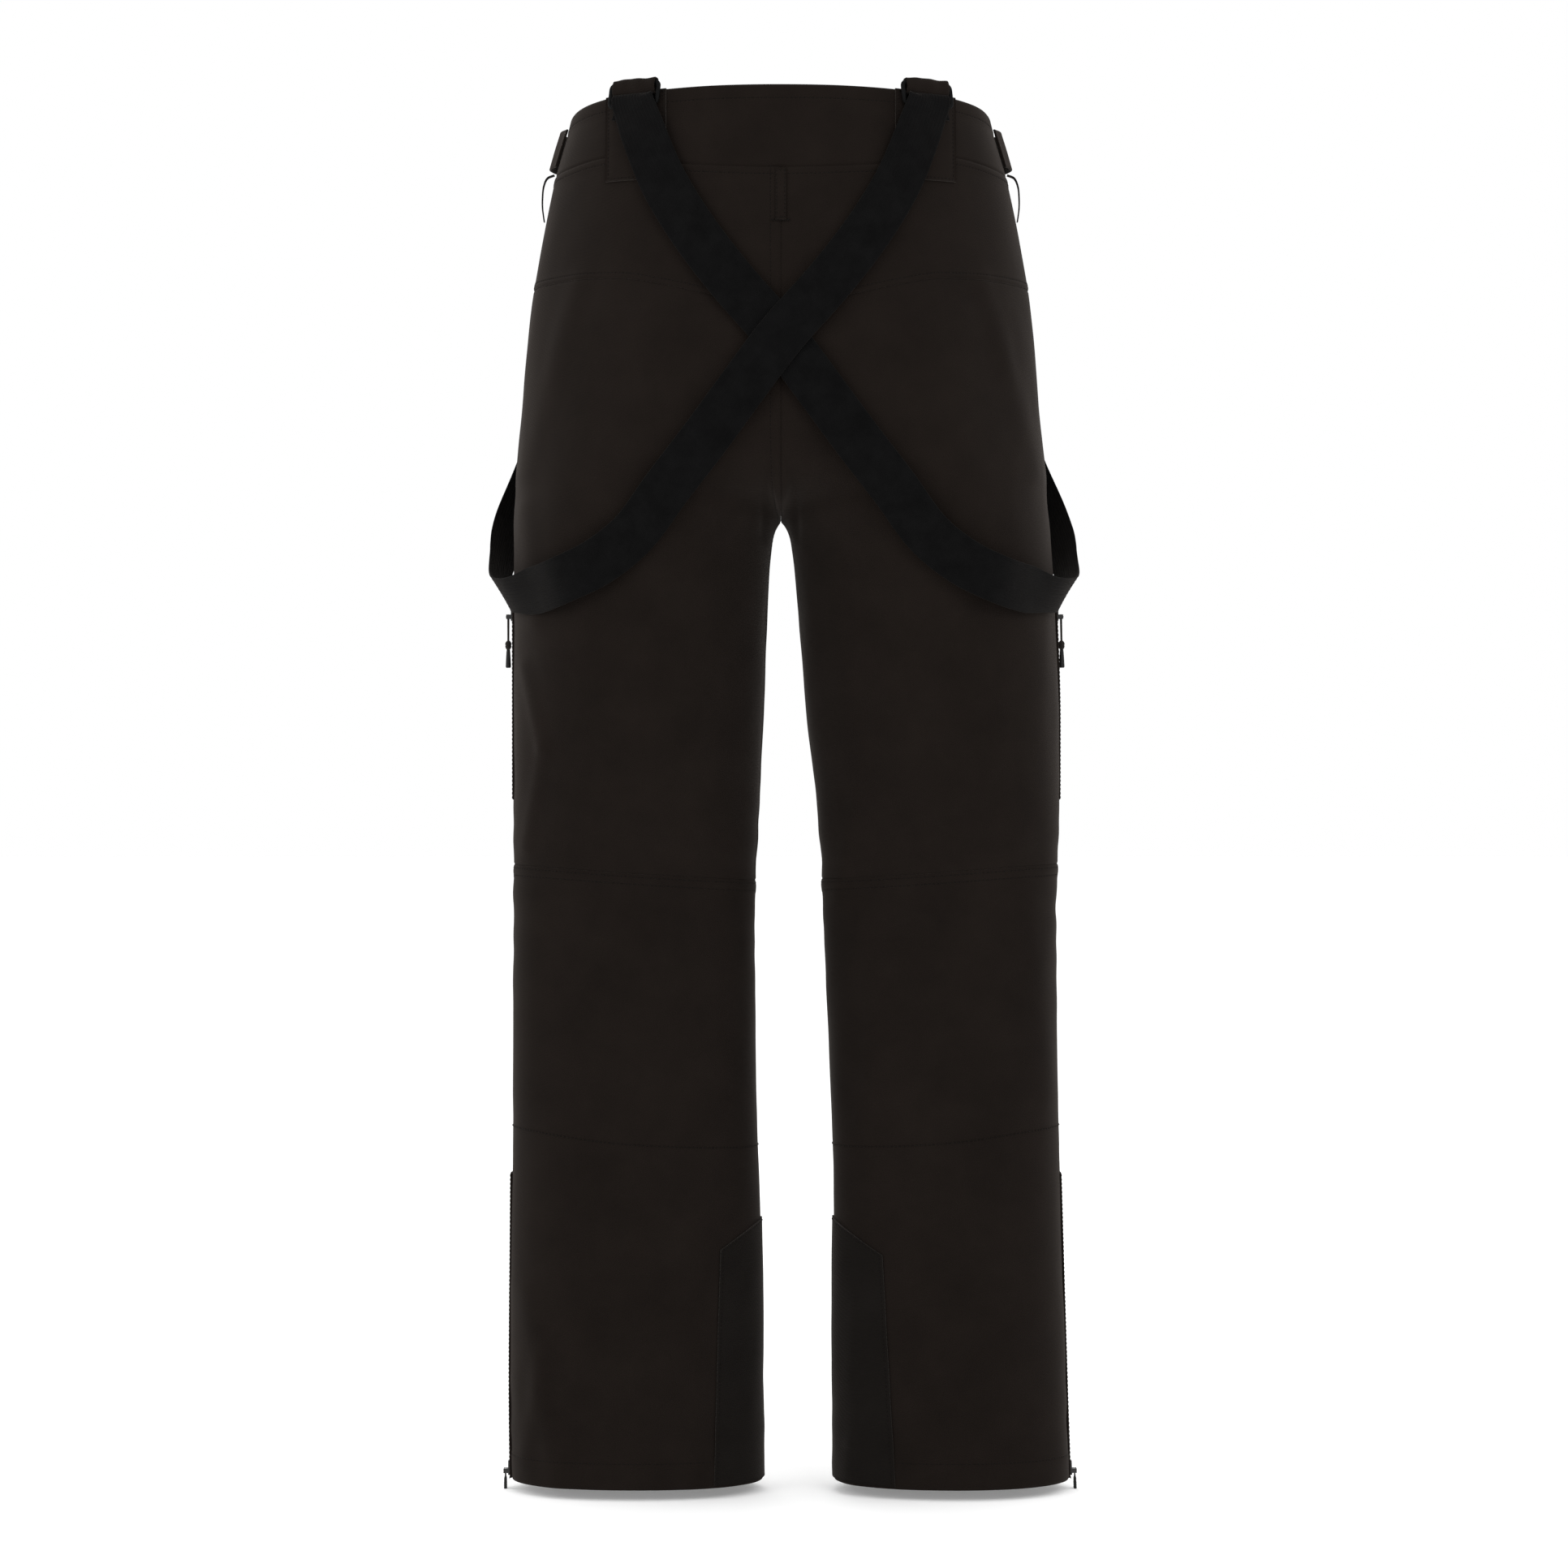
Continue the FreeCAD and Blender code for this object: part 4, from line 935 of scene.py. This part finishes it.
def moulded_pull(name, row, body):
    """Metal eye and a ridged rubber grip."""
    origin, length = slider_origin(row), row["pull"]
    pull_eye(name + "_pull_eye", row, 1.4, 32, round_profile(1.5, 0.45, 8, 0.6), METAL, body, "pull_rubber")
    sections = [(PIN_FORWARD + 1.6, 1.5, 0.6), (7, 1.6, 0.7), (8.4, 2.6, 1.1)]
    for i, place in enumerate(np.linspace(9.5, length - 1.4, 18)):
        ridge = 0.077 * (1 - math.cos(2 * math.pi * i / 3)) if 3 <= i <= 14 else 0
        sections.append((place, 3.0 + 0.25 * math.sin(math.pi * i / 17), 1.15 + ridge))
    sections += [(length - 0.5, 2.7, 1.0), (length, 2.0, 0.6)]
    placed = [(*section, PIN_HEIGHT) for section in sections]
    lozenge(name + "_grip", origin, (row["x"], row["y"], row["z"]), placed, 3.4, [RUBBER], body, [body],
            24)


def zip_pull(name, row):
    kind, _, side = name.partition("_")
    body = kind + "_pull" + ("_" + side if side else "")
    make_pull = cord_pull if kind == "thigh" else moulded_pull
    make_pull(name, row, body)


# ---------- suspenders ----------

# Label, place across the body and face of each ring.
RINGS = (("back_left", BACK_RING_X, 1), ("back_right", -BACK_RING_X, 1),
         ("front_left", FRONT_RING_X, -1), ("front_right", -FRONT_RING_X, -1))
RING_CORNER = 4.0
RIB_PITCH = 2.9


def strap_route(side):
    lift = CROSSING_LIFT if side > 0 else 0
    points, normals = [], []
    for x, z, stand_off in BACK_RUN:
        nearness = math.exp(-(x / CROSSING_REACH) ** 2)
        point, normal = skin(np.array([side * x]), np.array([z]), 1, stand_off + lift * nearness)
        points.append(point[0])
        normals.append(normal[0])
    for (x, y, z), outward in HIP_RUN:
        edges = [half(s, np.array(float(z))) for s in (side, 1)]
        wider = (abs(edges[0][0]) + edges[0][1]) - (abs(edges[1][0]) + edges[1][1])
        points.append(np.array([side * (x + wider), y, z]))
        normals.append(unit(np.array([side * outward[0], *outward[1:]])))
    low = np.array([side * FRONT_RUN_LOW[0], *FRONT_RUN_LOW[1:]])
    high = np.array([side * FRONT_RUN_HIGH[0], *FRONT_RUN_HIGH[1:]])
    turn = math.radians(FRONT_FACING)
    for share in (0, 0.35, 0.65, 1):
        points.append(low + (high - low) * share)
        normals.append(np.array([side * math.cos(turn), math.sin(turn), 0]))
    point, normal = skin(np.array([side * FRONT_RING_X]), np.array([-30.0]), -1, 8.0)
    points.append(point[0])
    normals.append(normal[0])
    return points, normals


def ring_frame(x, face):
    """Centre of a ring with its across, up and outward directions."""
    base = skin(np.array([x]), np.array([float(WAIST_SIDE)]), face)[0][0]
    top = WAIST_SIDE + WAIST_TILT * base[1]
    centre, normal = skin(np.array([x]), np.array([top - RING_HEIGHT / 2 + RING_RISE]), face, RING_OFFSET)
    out = normal[0]
    across = unit(np.cross([0, 0, 1.0], out))
    return centre[0], across, np.cross(out, across), out


def fold_over_bar(x, face):
    """Route that comes up in front of the ring's lower bar, over it and down behind."""
    centre, _, up, out = ring_frame(x, face)
    bar = -RING_HEIGHT / 2 + RING_BAR / 2
    points, normals = [], []
    for angle in np.linspace(0, math.pi, 9):
        points.append(centre + up * (bar + 5.2 + 4.2 * math.sin(angle)) + out * (3.1 * math.cos(angle)))
        normals.append(out * math.cos(angle) + up * math.sin(angle))
    for height, depth in ((-14, -1.8), (-20, -0.6)):
        points.append(centre + up * height + out * depth)
        normals.append(-out)
    return points, normals


def strap(name, side):
    points, normals = strap_route(side)
    start_points, start_normals = fold_over_bar(-side * BACK_RING_X, 1)
    end_points, end_normals = fold_over_bar(side * FRONT_RING_X, -1)
    points = start_points[::-1] + points[1:] + end_points
    normals = start_normals[::-1] + normals[1:] + end_normals
    line, facing = smooth_route(points, normals, 2.2)
    hip = smooth((np.abs(line[:, 0]) - 195) / 25) * smooth((-350 - line[:, 2]) / 30)

    def ribs(u, run):
        ridges = 0.10 * np.cos(2 * np.pi * u / RIB_PITCH) * (np.abs(u) < 17.2)
        return ridges + 0.12 * np.sin(run / 9.0 + u / 13.0)

    sweep("elastic_" + name, line, facing, band_profile(STRAP_WIDTH, STRAP_THICK, 53), [ELASTIC], "pants",
          ["strap_" + name], "strap_elastic", widths=1 - 0.22 * hip, lift=ribs)


def ring(label, x, face):
    """Rectangular ring with round corners."""
    centre, across, up, out = ring_frame(x, face)
    wide, high = RING_WIDTH / 2 - RING_BAR / 2, RING_HEIGHT / 2 - RING_BAR / 2
    route = []
    for cx, cz, start in ((1, 1, 0), (-1, 1, 90), (-1, -1, 180), (1, -1, 270)):
        for angle in np.radians(np.linspace(start, start + 90, 8)):
            route.append((cx * (wide - RING_CORNER) + RING_CORNER * math.cos(angle),
                          cz * (high - RING_CORNER) + RING_CORNER * math.sin(angle)))
    route = np.array(route)
    points = centre + np.outer(route[:, 0], across) + np.outer(route[:, 1], up)
    nodes = ["strap_rings"] if label == "back_left" else []
    profile = round_profile(1.75, 1.45, 16, 0.75, 0.75)
    sweep("ring_" + label, points, same_way(out, len(points)), profile, [PLASTIC], "pants", nodes,
          "buckle_plastic", closed=True)


def holder_roll(label, x, face):
    """Cloth of the ring's holder, rolled round its upper bar."""
    centre, _, up, out = ring_frame(x, face)
    bar = RING_HEIGHT / 2 - RING_BAR / 2
    route, facing = [], []
    for angle in np.linspace(-0.5 * math.pi, 1.5 * math.pi, 22):
        sag = 1.0 + 0.12 * math.sin(3 * angle)
        route.append(centre + up * (bar - 2.6 + 6.0 * sag * math.sin(angle)) + out * (3.2 * math.cos(angle)))
        facing.append(out * math.cos(angle) + up * math.sin(angle))

    def creases(u, run):
        return 0.35 * np.sin(u / 5.2 + run / 6.0) + 0.2 * np.sin(u / 2.3)

    sweep("holder_roll_" + label, np.array(route), np.array(facing), band_profile(39.5, 1.3, 21), [SHELL],
          "pants", (), "shell_fabric", lift=creases)


# ---------- assembling the garment ----------

BARTACK = (-106.4, -107.0, -107.6)       # heights of the rows of stitches that make it
PATCH_MESH = 2.2
POCKET_ANGLES = (-0.75, -1.35)
PILE_ANGLES = (-0.1, -0.78)


def border_of(grid, i, j):
    """Closed line round a grid, i columns and j rows inside its edge."""
    return np.concatenate([grid[i:-i, j], grid[-i - 1, j:-j], grid[i:-i, -j - 1][::-1], grid[i, j:-j][::-1]])


def patch_on_skin(name, x_range, face, top, bottom, base, thick, node_names, inset=3.0, uneven=0.6):
    """Piece of cloth lying on the torso, with stitching along its edges."""
    x_size = x_range[1] - x_range[0]
    columns = max(8, int(x_size / PATCH_MESH))
    x = np.linspace(x_range[0], x_range[1], columns + 1)
    high, low = np.full(len(x), -20.0), np.full(len(x), -60.0)
    for _ in range(8):
        high = top(skin(x, high, face)[0])
        low = bottom(skin(x, low, face)[0])
    z_size = float(np.mean(high - low))
    lines = max(6, int(z_size / PATCH_MESH))
    share = np.linspace(0, 1, lines + 1)
    height = high[:, None] - share[None, :] * (high - low)[:, None]
    points, normals = skin(np.repeat(x[:, None], lines + 1, 1), height, face, base)
    centre = np.stack([0 * height, 0 * height, height], axis=-1)
    _, flip = grid_normals(points, centre)
    du, dv = distances(points, 0), distances(points, 1)
    near = np.minimum(np.minimum(du, du[-1:] - du), np.minimum(dv, dv[:, -1:] - dv))
    lift = cloth_noise(points) * uneven + 0.25 * smooth(near / 2) - 0.3 * np.exp(-((near - inset) / 0.8) ** 2)
    outer = points + normals * (thick + lift)[..., None]
    shell_object(name, outer, points, flip, [SHELL, INSIDE], "pants", node_names)
    i = max(1, int(round(inset / x_size * columns)))
    j = max(1, int(round(inset / z_size * lines)))
    stitch_line("pants", border_of(outer, i, j), border_of(normals, i, j), 0.12)


def torso():
    edge = [11.0]
    panel("band_back", 1, 1, waist_edge, seam(BAND_SEAM_BACK), (edge, [], [], []), "pants", ["waistband_back"],
          whole=True)
    for name, side in SIDES.items():
        panel("band_front_" + name, side, -1, waist_edge, seam(BAND_SEAM_FRONT), (edge, [], [], []), "pants",
              ["waistband_front_" + name])
        centre = [8.0] if side > 0 else []
        panel("yoke_" + name, side, 1, seam(BAND_SEAM_BACK), seam(YOKE_SEAM), ([5.8], [4.5], [], centre),
              "pants", ["back_yoke_" + name])
    patch_on_skin("band_lap", (LAP_NEAR, LAP_FAR), -1, waist_edge, level(LAP_BOTTOM), 0.4, 1.5, (), uneven=0)


def legs():
    for name, side in SIDES.items():
        body = "leg_" + name
        centre = [8.0] if side > 0 else []
        hem = ([2.4, 8.4], [21.0], [], [])
        knee = seam(KNEE_SEAM)
        back = panel("thigh_back_" + name, side, 1, seam(YOKE_SEAM), knee, ([], [], [], centre), body,
                     ["seat_panel_" + name])
        front = panel("thigh_front_" + name, side, -1, seam(BAND_SEAM_FRONT), knee, ([5.0], [], [], []), body,
                      ["front_panel_" + name])
        lower_back = panel("calf_" + name, side, 1, knee, level(HEM), hem, body,
                           ["knee_" + name, "calf_panel_" + name])
        lower_front = panel("shin_" + name + "_cloth", side, -1, knee, level(HEM), hem, body,
                            ["shin_panel_" + name])
        thigh, pocket, ankle = "thigh_" + name, "pocket_" + name, "ankle_" + name
        for cloth, zips in (
            (back, [thigh]), (front, [thigh, pocket, "fly"]), (lower_back, [ankle]), (lower_front, [ankle]),
        ):
            for zip_name in zips:
                cut_slot(cloth, ZIPS[zip_name])
            attach(cloth, body)
        for face in (1, -1):
            stitch_line(body, *line_on_panel(side, face, SLEEVE_SEAM))


def arc_patch(name, side, angles, top, bottom, base, thick, body, node_names, materials, columns, rows,
              inset=3.0, taper=0.0):
    """Piece of cloth wrapped round the torso or a leg; taper is the share of its width lost at the top."""
    angle = np.linspace(angles[0], angles[1], columns)
    high, low = np.full(columns, -30.0), np.full(columns, -60.0)
    for _ in range(10):
        high = top(on_section(side, high, angle))
        low = bottom(on_section(side, low, angle))
    share = np.linspace(0, 1, rows)
    height = high[:, None] - share * (high - low)[:, None]
    middle = (angles[0] + angles[1]) / 2
    wide = middle + (angle[:, None] - middle) * (1 - taper * (1 - share))
    points = on_section(side, height, wide)
    centre = np.stack([half(side, height)[0], 0 * height, height], axis=-1)
    normals, flip = grid_normals(points, centre)
    lift = cloth_noise(points) + folds(points)
    inner = points + normals * (lift + base)[..., None]
    outer = inner + normals * thick
    shell_object(name, outer, inner, flip, materials, body, node_names)
    if inset:
        across = np.linalg.norm(points[1] - points[0], axis=-1).mean()
        i = max(1, int(round(inset / across)))
        j = max(1, int(round(inset / (np.mean(high - low) / rows))))
        path = np.concatenate([outer[i, j:-1][::-1], outer[i:-i, j], outer[-i - 1, j:-1]])
        facing = np.concatenate([normals[i, j:-1][::-1], normals[i:-i, j], normals[-i - 1, j:-1]])
        stitch_line(body, path, facing, 0.12)


def trims():
    holders = {"back_left": (["back_carrier_left"], -72), "back_right": (["back_carrier_right"], -72),
               "front_left": (["front_carriers"], -70), "front_right": ([], -70)}
    for label, x, face in RINGS:
        nodes, bottom = holders[label]
        x_range = (x - CARRIER_WIDTH / 2, x + CARRIER_WIDTH / 2)
        patch_on_skin("ring_holder_" + label, x_range, face, waist_edge, level(bottom), 0.3, PATCH, nodes)
    patch_on_skin("centre_back_strip", (-4.2, 4.2), 1, level(-65), level(-107), 0.2, FABRIC,
                  ["centre_back_tab"], 1.4)
    for height in BARTACK:
        points, normals = skin(np.linspace(-6, 6, 12), np.full(12, height), 1, 1.5)
        stitch_line("pants", points, normals, 0.1)


def lining():
    gap = math.acos((LINING_GAP / float(half(1, np.array(float(WAIST_SIDE)))[1])) ** (ROUNDNESS / 2))

    def lower(point):
        return np.where(point[..., 1] > 0, seam(BAND_SEAM_BACK)(point), seam(BAND_SEAM_FRONT)(point)) + 1

    arc_patch("band_inner_face", 1, (-gap, math.pi + gap), waist_edge, lower, -2 * FABRIC - 0.1, FABRIC - 0.1,
              "pants", ["waistband_lining"], [LINING, LINING], 160, 20, 0)
    for name, side in SIDES.items():
        arc_patch("pocket_pouch_" + name, side, POCKET_ANGLES, level(-88), level(-242), -7.4, 1.3, "pants",
                  ["pocket_bag_" + name], [LINING, LINING], 30, 40, 0)
    patch_on_skin("fly_guard", (-22, 22), -1, level(-70), level(-204), -5.8, 1.3, ["fly_facing"], uneven=0)


def section_normal(side, height, angle):
    around = on_section(side, height, angle + 0.01) - on_section(side, height, angle - 0.01)
    down = on_section(side, height - 1, angle) - on_section(side, height + 1, angle)
    normal = unit(np.cross(around, down))
    centre = float(half(side, np.array(float(height)))[0])
    outward = on_section(side, height, angle) - [centre, 0, height]
    return normal if normal @ outward > 0 else -normal


def side_tab(name, side):
    """Adjuster tab, sewn at the side seam, with its stitching and hook pad."""
    points, normals = [], []
    for angle, stand_off in TAB_ROUTE:
        normal = section_normal(side, TAB_MIDDLE, angle)
        points.append(on_section(side, TAB_MIDDLE, angle) + normal * stand_off)
        normals.append(normal)
    line, facing = smooth_route(points, normals, 1.6)
    along = distances(line, 0)
    widths = 0.62 + 0.38 * smooth((along[-1] - along) / 26)
    body = "waist_tab_" + name

    def gathers(u, run):
        return 0.35 * np.sin(run / 11.0) * np.cos(u / 9.0) + 0.3 * np.sin(run * 1.9) * smooth((34 - run) / 10)

    def hooks(u, run):
        return 0.22 * np.sin(u * 2.1) * np.sin(run * 2.0)

    sweep("side_tab_" + name, line, facing, band_profile(TAB_HEIGHT, 1.7, 21), [SHELL], body, [body],
          "hook_and_loop", widths=widths, lift=gathers)
    _, normals_here, across = route_frames(line, facing)
    front = slice(int(len(line) * 0.4), len(line) - 2)
    for sign in (-1, 1):
        offset = (TAB_HEIGHT / 2 * widths - 3.0) * sign
        edge = line + across * offset[:, None] + normals_here * 0.95
        stitch_line(body, edge[front], normals_here[front], 0.1)
    reach = slice(int(len(line) * 0.5), len(line) - 2)
    pad_line = line[reach] - normals_here[reach] * 1.25
    sweep("hook_pad_" + name, pad_line, facing[reach], band_profile(21, 0.9, 15), [HOOKS], body, (),
          "hook_and_loop", widths=widths[reach], lift=hooks)


def side_tabs():
    for name, side in SIDES.items():
        side_tab(name, side)
        arc_patch("soft_pile_" + name, side, PILE_ANGLES, level(-24), level(-48), 0.1, 1.0, "pants",
                  ["loop_patches"] if side > 0 else [], [LOOPS, LOOPS], 60, 16, 2.0)
        route = [np.array([side * x, 0.0, float(z)]) for x, z in LOOP_ROUTE]
        facing = [np.array([side * 0.5, 0, 1.0])] + [np.array([side * 1.0, 0, 0.15])] * (len(route) - 1)
        sweep("hang_tape_" + name, *smooth_route(route, facing, 1.2), band_profile(8, 0.95, 9), [TAPE],
              "pants", ["hanger_loop_" + name], "loop_tape")


def snow_sleeve(name, side, body):
    """Inner sleeve that hangs from the calf and narrows to a gathered cuff."""
    columns, rows = 180, 90
    share = np.linspace(0, 1, rows)[:, None]
    angle = (2 * np.pi * np.arange(columns) / columns)[None, :]
    height = GAITER_TOP + (GAITER_BOTTOM - GAITER_TOP) * share + 0 * angle
    centre, width, front, back = half(side, height)
    inset = FABRIC + 2.4 * (1 - share)
    narrow = share ** 1.5
    gather = 1.4 * share ** 3 * np.sin(36 * angle) + 0.9 * share ** 2 * np.sin(13 * angle + 8 * share) - 1.2
    grids = []
    for offset in (0.0, -1.0):
        wide = (width - inset) * (1 - narrow) + GAITER_CUFF[0] * narrow + offset + gather
        deep = (np.minimum(front, back) - inset) * (1 - narrow) + GAITER_CUFF[1] * narrow + offset + gather
        x = centre + signed_power(np.cos(angle), 2 / ROUNDNESS) * wide
        y = signed_power(np.sin(angle), 2 / ROUNDNESS) * deep
        grids.append(np.stack([x, y, height], axis=-1).reshape(-1, 3))
    count = rows * columns
    faces = grid_faces(rows, columns, 0, True, True) + grid_faces(rows, columns, count, False, True)
    low = count - columns
    for j in range(columns):
        k = (j + 1) % columns
        faces.append([j, k, k + count, j + count])
        faces.append([low + k, low + j, low + j + count, low + k + count])
    make_object("snow_sleeve_" + name, np.concatenate(grids), faces, [SLEEVE], body, ["gaiter_" + name])


def grip_elastic(name, side, body):
    """Ribbed elastic round the sleeve's cuff."""
    turn = 2 * np.pi * np.arange(120) / 120
    height = GAITER_BOTTOM + 8.0
    middle = float(half(side, np.array(height))[0])
    x = middle + signed_power(np.cos(turn), 2 / ROUNDNESS) * (GAITER_CUFF[0] + 1.2)
    y = signed_power(np.sin(turn), 2 / ROUNDNESS) * (GAITER_CUFF[1] + 1.2)
    line = np.stack([x, y, np.full(120, height)], axis=-1)

    def ribs(u, _):
        return 0.25 * np.cos(2 * np.pi * u / 3.0)

    sweep("grip_elastic_" + name, line, unit(line - [middle, 0, height]), band_profile(15, 1.6, 13), [ELASTIC],
          body, (), "gaiter_fabric", closed=True, lift=ribs)


def kick_guard(name, side, body):
    """Scuff guard round the inner ankle, with a slanted top."""
    def upper(point):
        inner = half(side, np.array(-1000.0))
        away = np.abs(point[..., 0] - (inner[0] - side * inner[1]))
        return GUARD_TOP - 0.55 * away

    angles = (math.pi - GUARD_REACH[side], math.pi + GUARD_REACH[side])
    arc_patch("kick_guard_" + name, side, angles, upper, level(HEM + 2), 0.15, 1.2, body,
              ["scuff_guard_" + name], [GUARD, GUARD], 120, 90, 3.0, GUARD_TAPER)


def ankles():
    for name, side in SIDES.items():
        for make_piece in (snow_sleeve, grip_elastic, kick_guard):
            make_piece(name, side, "shin_" + name)


def all_zips():
    for name, row in ZIPS.items():
        kind, _, side = name.partition("_")
        zip_pieces(name, row, "shin_" + side if kind == "ankle" else "pants")
        zip_pull(name, row)


def keep_cad_nodes():
    """Materials of the CAD nodes that stay visible."""
    finishes = {"slider": METAL, "fly_snaps": METAL, "strap_adjuster": PLASTIC}
    for name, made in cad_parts.items():
        for part, material in finishes.items():
            if part in name:
                made.data.materials.clear()
                made.data.materials.append(material)


# ---------- the scene ----------

FLOOR_HEIGHT = -1.122
FLOOR_REACH = 30
LIGHTS = (
    # name, place, aim, size and power
    ("key", (-1.6, 3.2, 1.6), (0, 0, -0.5), 1.8, 34),
    ("fill", (2.4, 2.6, 0.6), (0, 0, -0.6), 1.8, 22),
    ("rim_left", (2.6, -0.6, 0.2), (0, 0, -0.6), 1.6, 12),
    ("rim_right", (-2.6, -0.6, 0.2), (0, 0, -0.6), 1.6, 6),
    ("front", (0.4, -3.2, 1.2), (0, 0, -0.5), 1.8, 26),
)


def add_floor():
    turns = ((-1, -1), (1, -1), (1, 1), (-1, 1))
    corners = [(x * FLOOR_REACH, y * FLOOR_REACH, FLOOR_HEIGHT) for x, y in turns]
    mesh = bpy.data.meshes.new("floor")
    mesh.from_pydata(corners, [], [[0, 1, 2, 3]])
    floor = bpy.data.objects.new("floor", mesh)
    bpy.context.scene.collection.objects.link(floor)
    material, tree, shader = new_material("studio_floor", (0.9, 0.9, 0.9), 0.8, ior=1.2)
    shader.inputs["Emission Color"].default_value = (1, 1, 1, 1)
    shader.inputs["Emission Strength"].default_value = 0.22
    coords = node(tree, "ShaderNodeTexCoord").outputs["Object"]
    colour_and_roughness(tree, shader, coords, (0.90, 0.90, 0.90), (0.93, 0.93, 0.93), 2, 0.75, 0.9)
    mesh.materials.append(material)


def add_lights():
    world = bpy.data.worlds.new("studio")
    bpy.context.scene.world = world
    world.use_nodes = True
    background = world.node_tree.nodes["Background"]
    background.inputs["Color"].default_value = (1, 1, 1, 1)
    background.inputs["Strength"].default_value = 1.0
    for name, place, aim, size, power in LIGHTS:
        light = bpy.data.lights.new(name, "AREA")
        light.size = size
        light.energy = power
        made = bpy.data.objects.new(name, light)
        made.location = place
        made.rotation_euler = (Vector(aim) - Vector(place)).to_track_quat("-Z", "Y").to_euler()
        bpy.context.scene.collection.objects.link(made)


def add_camera():
    camera = bpy.data.cameras.new("camera")
    camera.lens = 98.67
    camera.sensor_width = 36
    eye = bpy.data.objects.new("camera", camera)
    eye.location = (-0.0026, 3.5, -0.5486)
    eye.rotation_euler = (math.pi / 2, 0, math.pi)
    bpy.context.scene.collection.objects.link(eye)
    bpy.context.scene.camera = eye
    bpy.context.scene.view_settings.view_transform = "Standard"


torso()
legs()
trims()
lining()
side_tabs()
ankles()
for ring_place in RINGS:
    ring(*ring_place)
    holder_roll(*ring_place)
for strap_name, strap_side in SIDES.items():
    strap(strap_name, strap_side)
all_zips()
for stitch_body, stitch_lines in stitches.items():
    add_stitches(stitch_body, stitch_lines)
keep_cad_nodes()
add_floor()
add_lights()
add_camera()

bpy.context.view_layer.update()
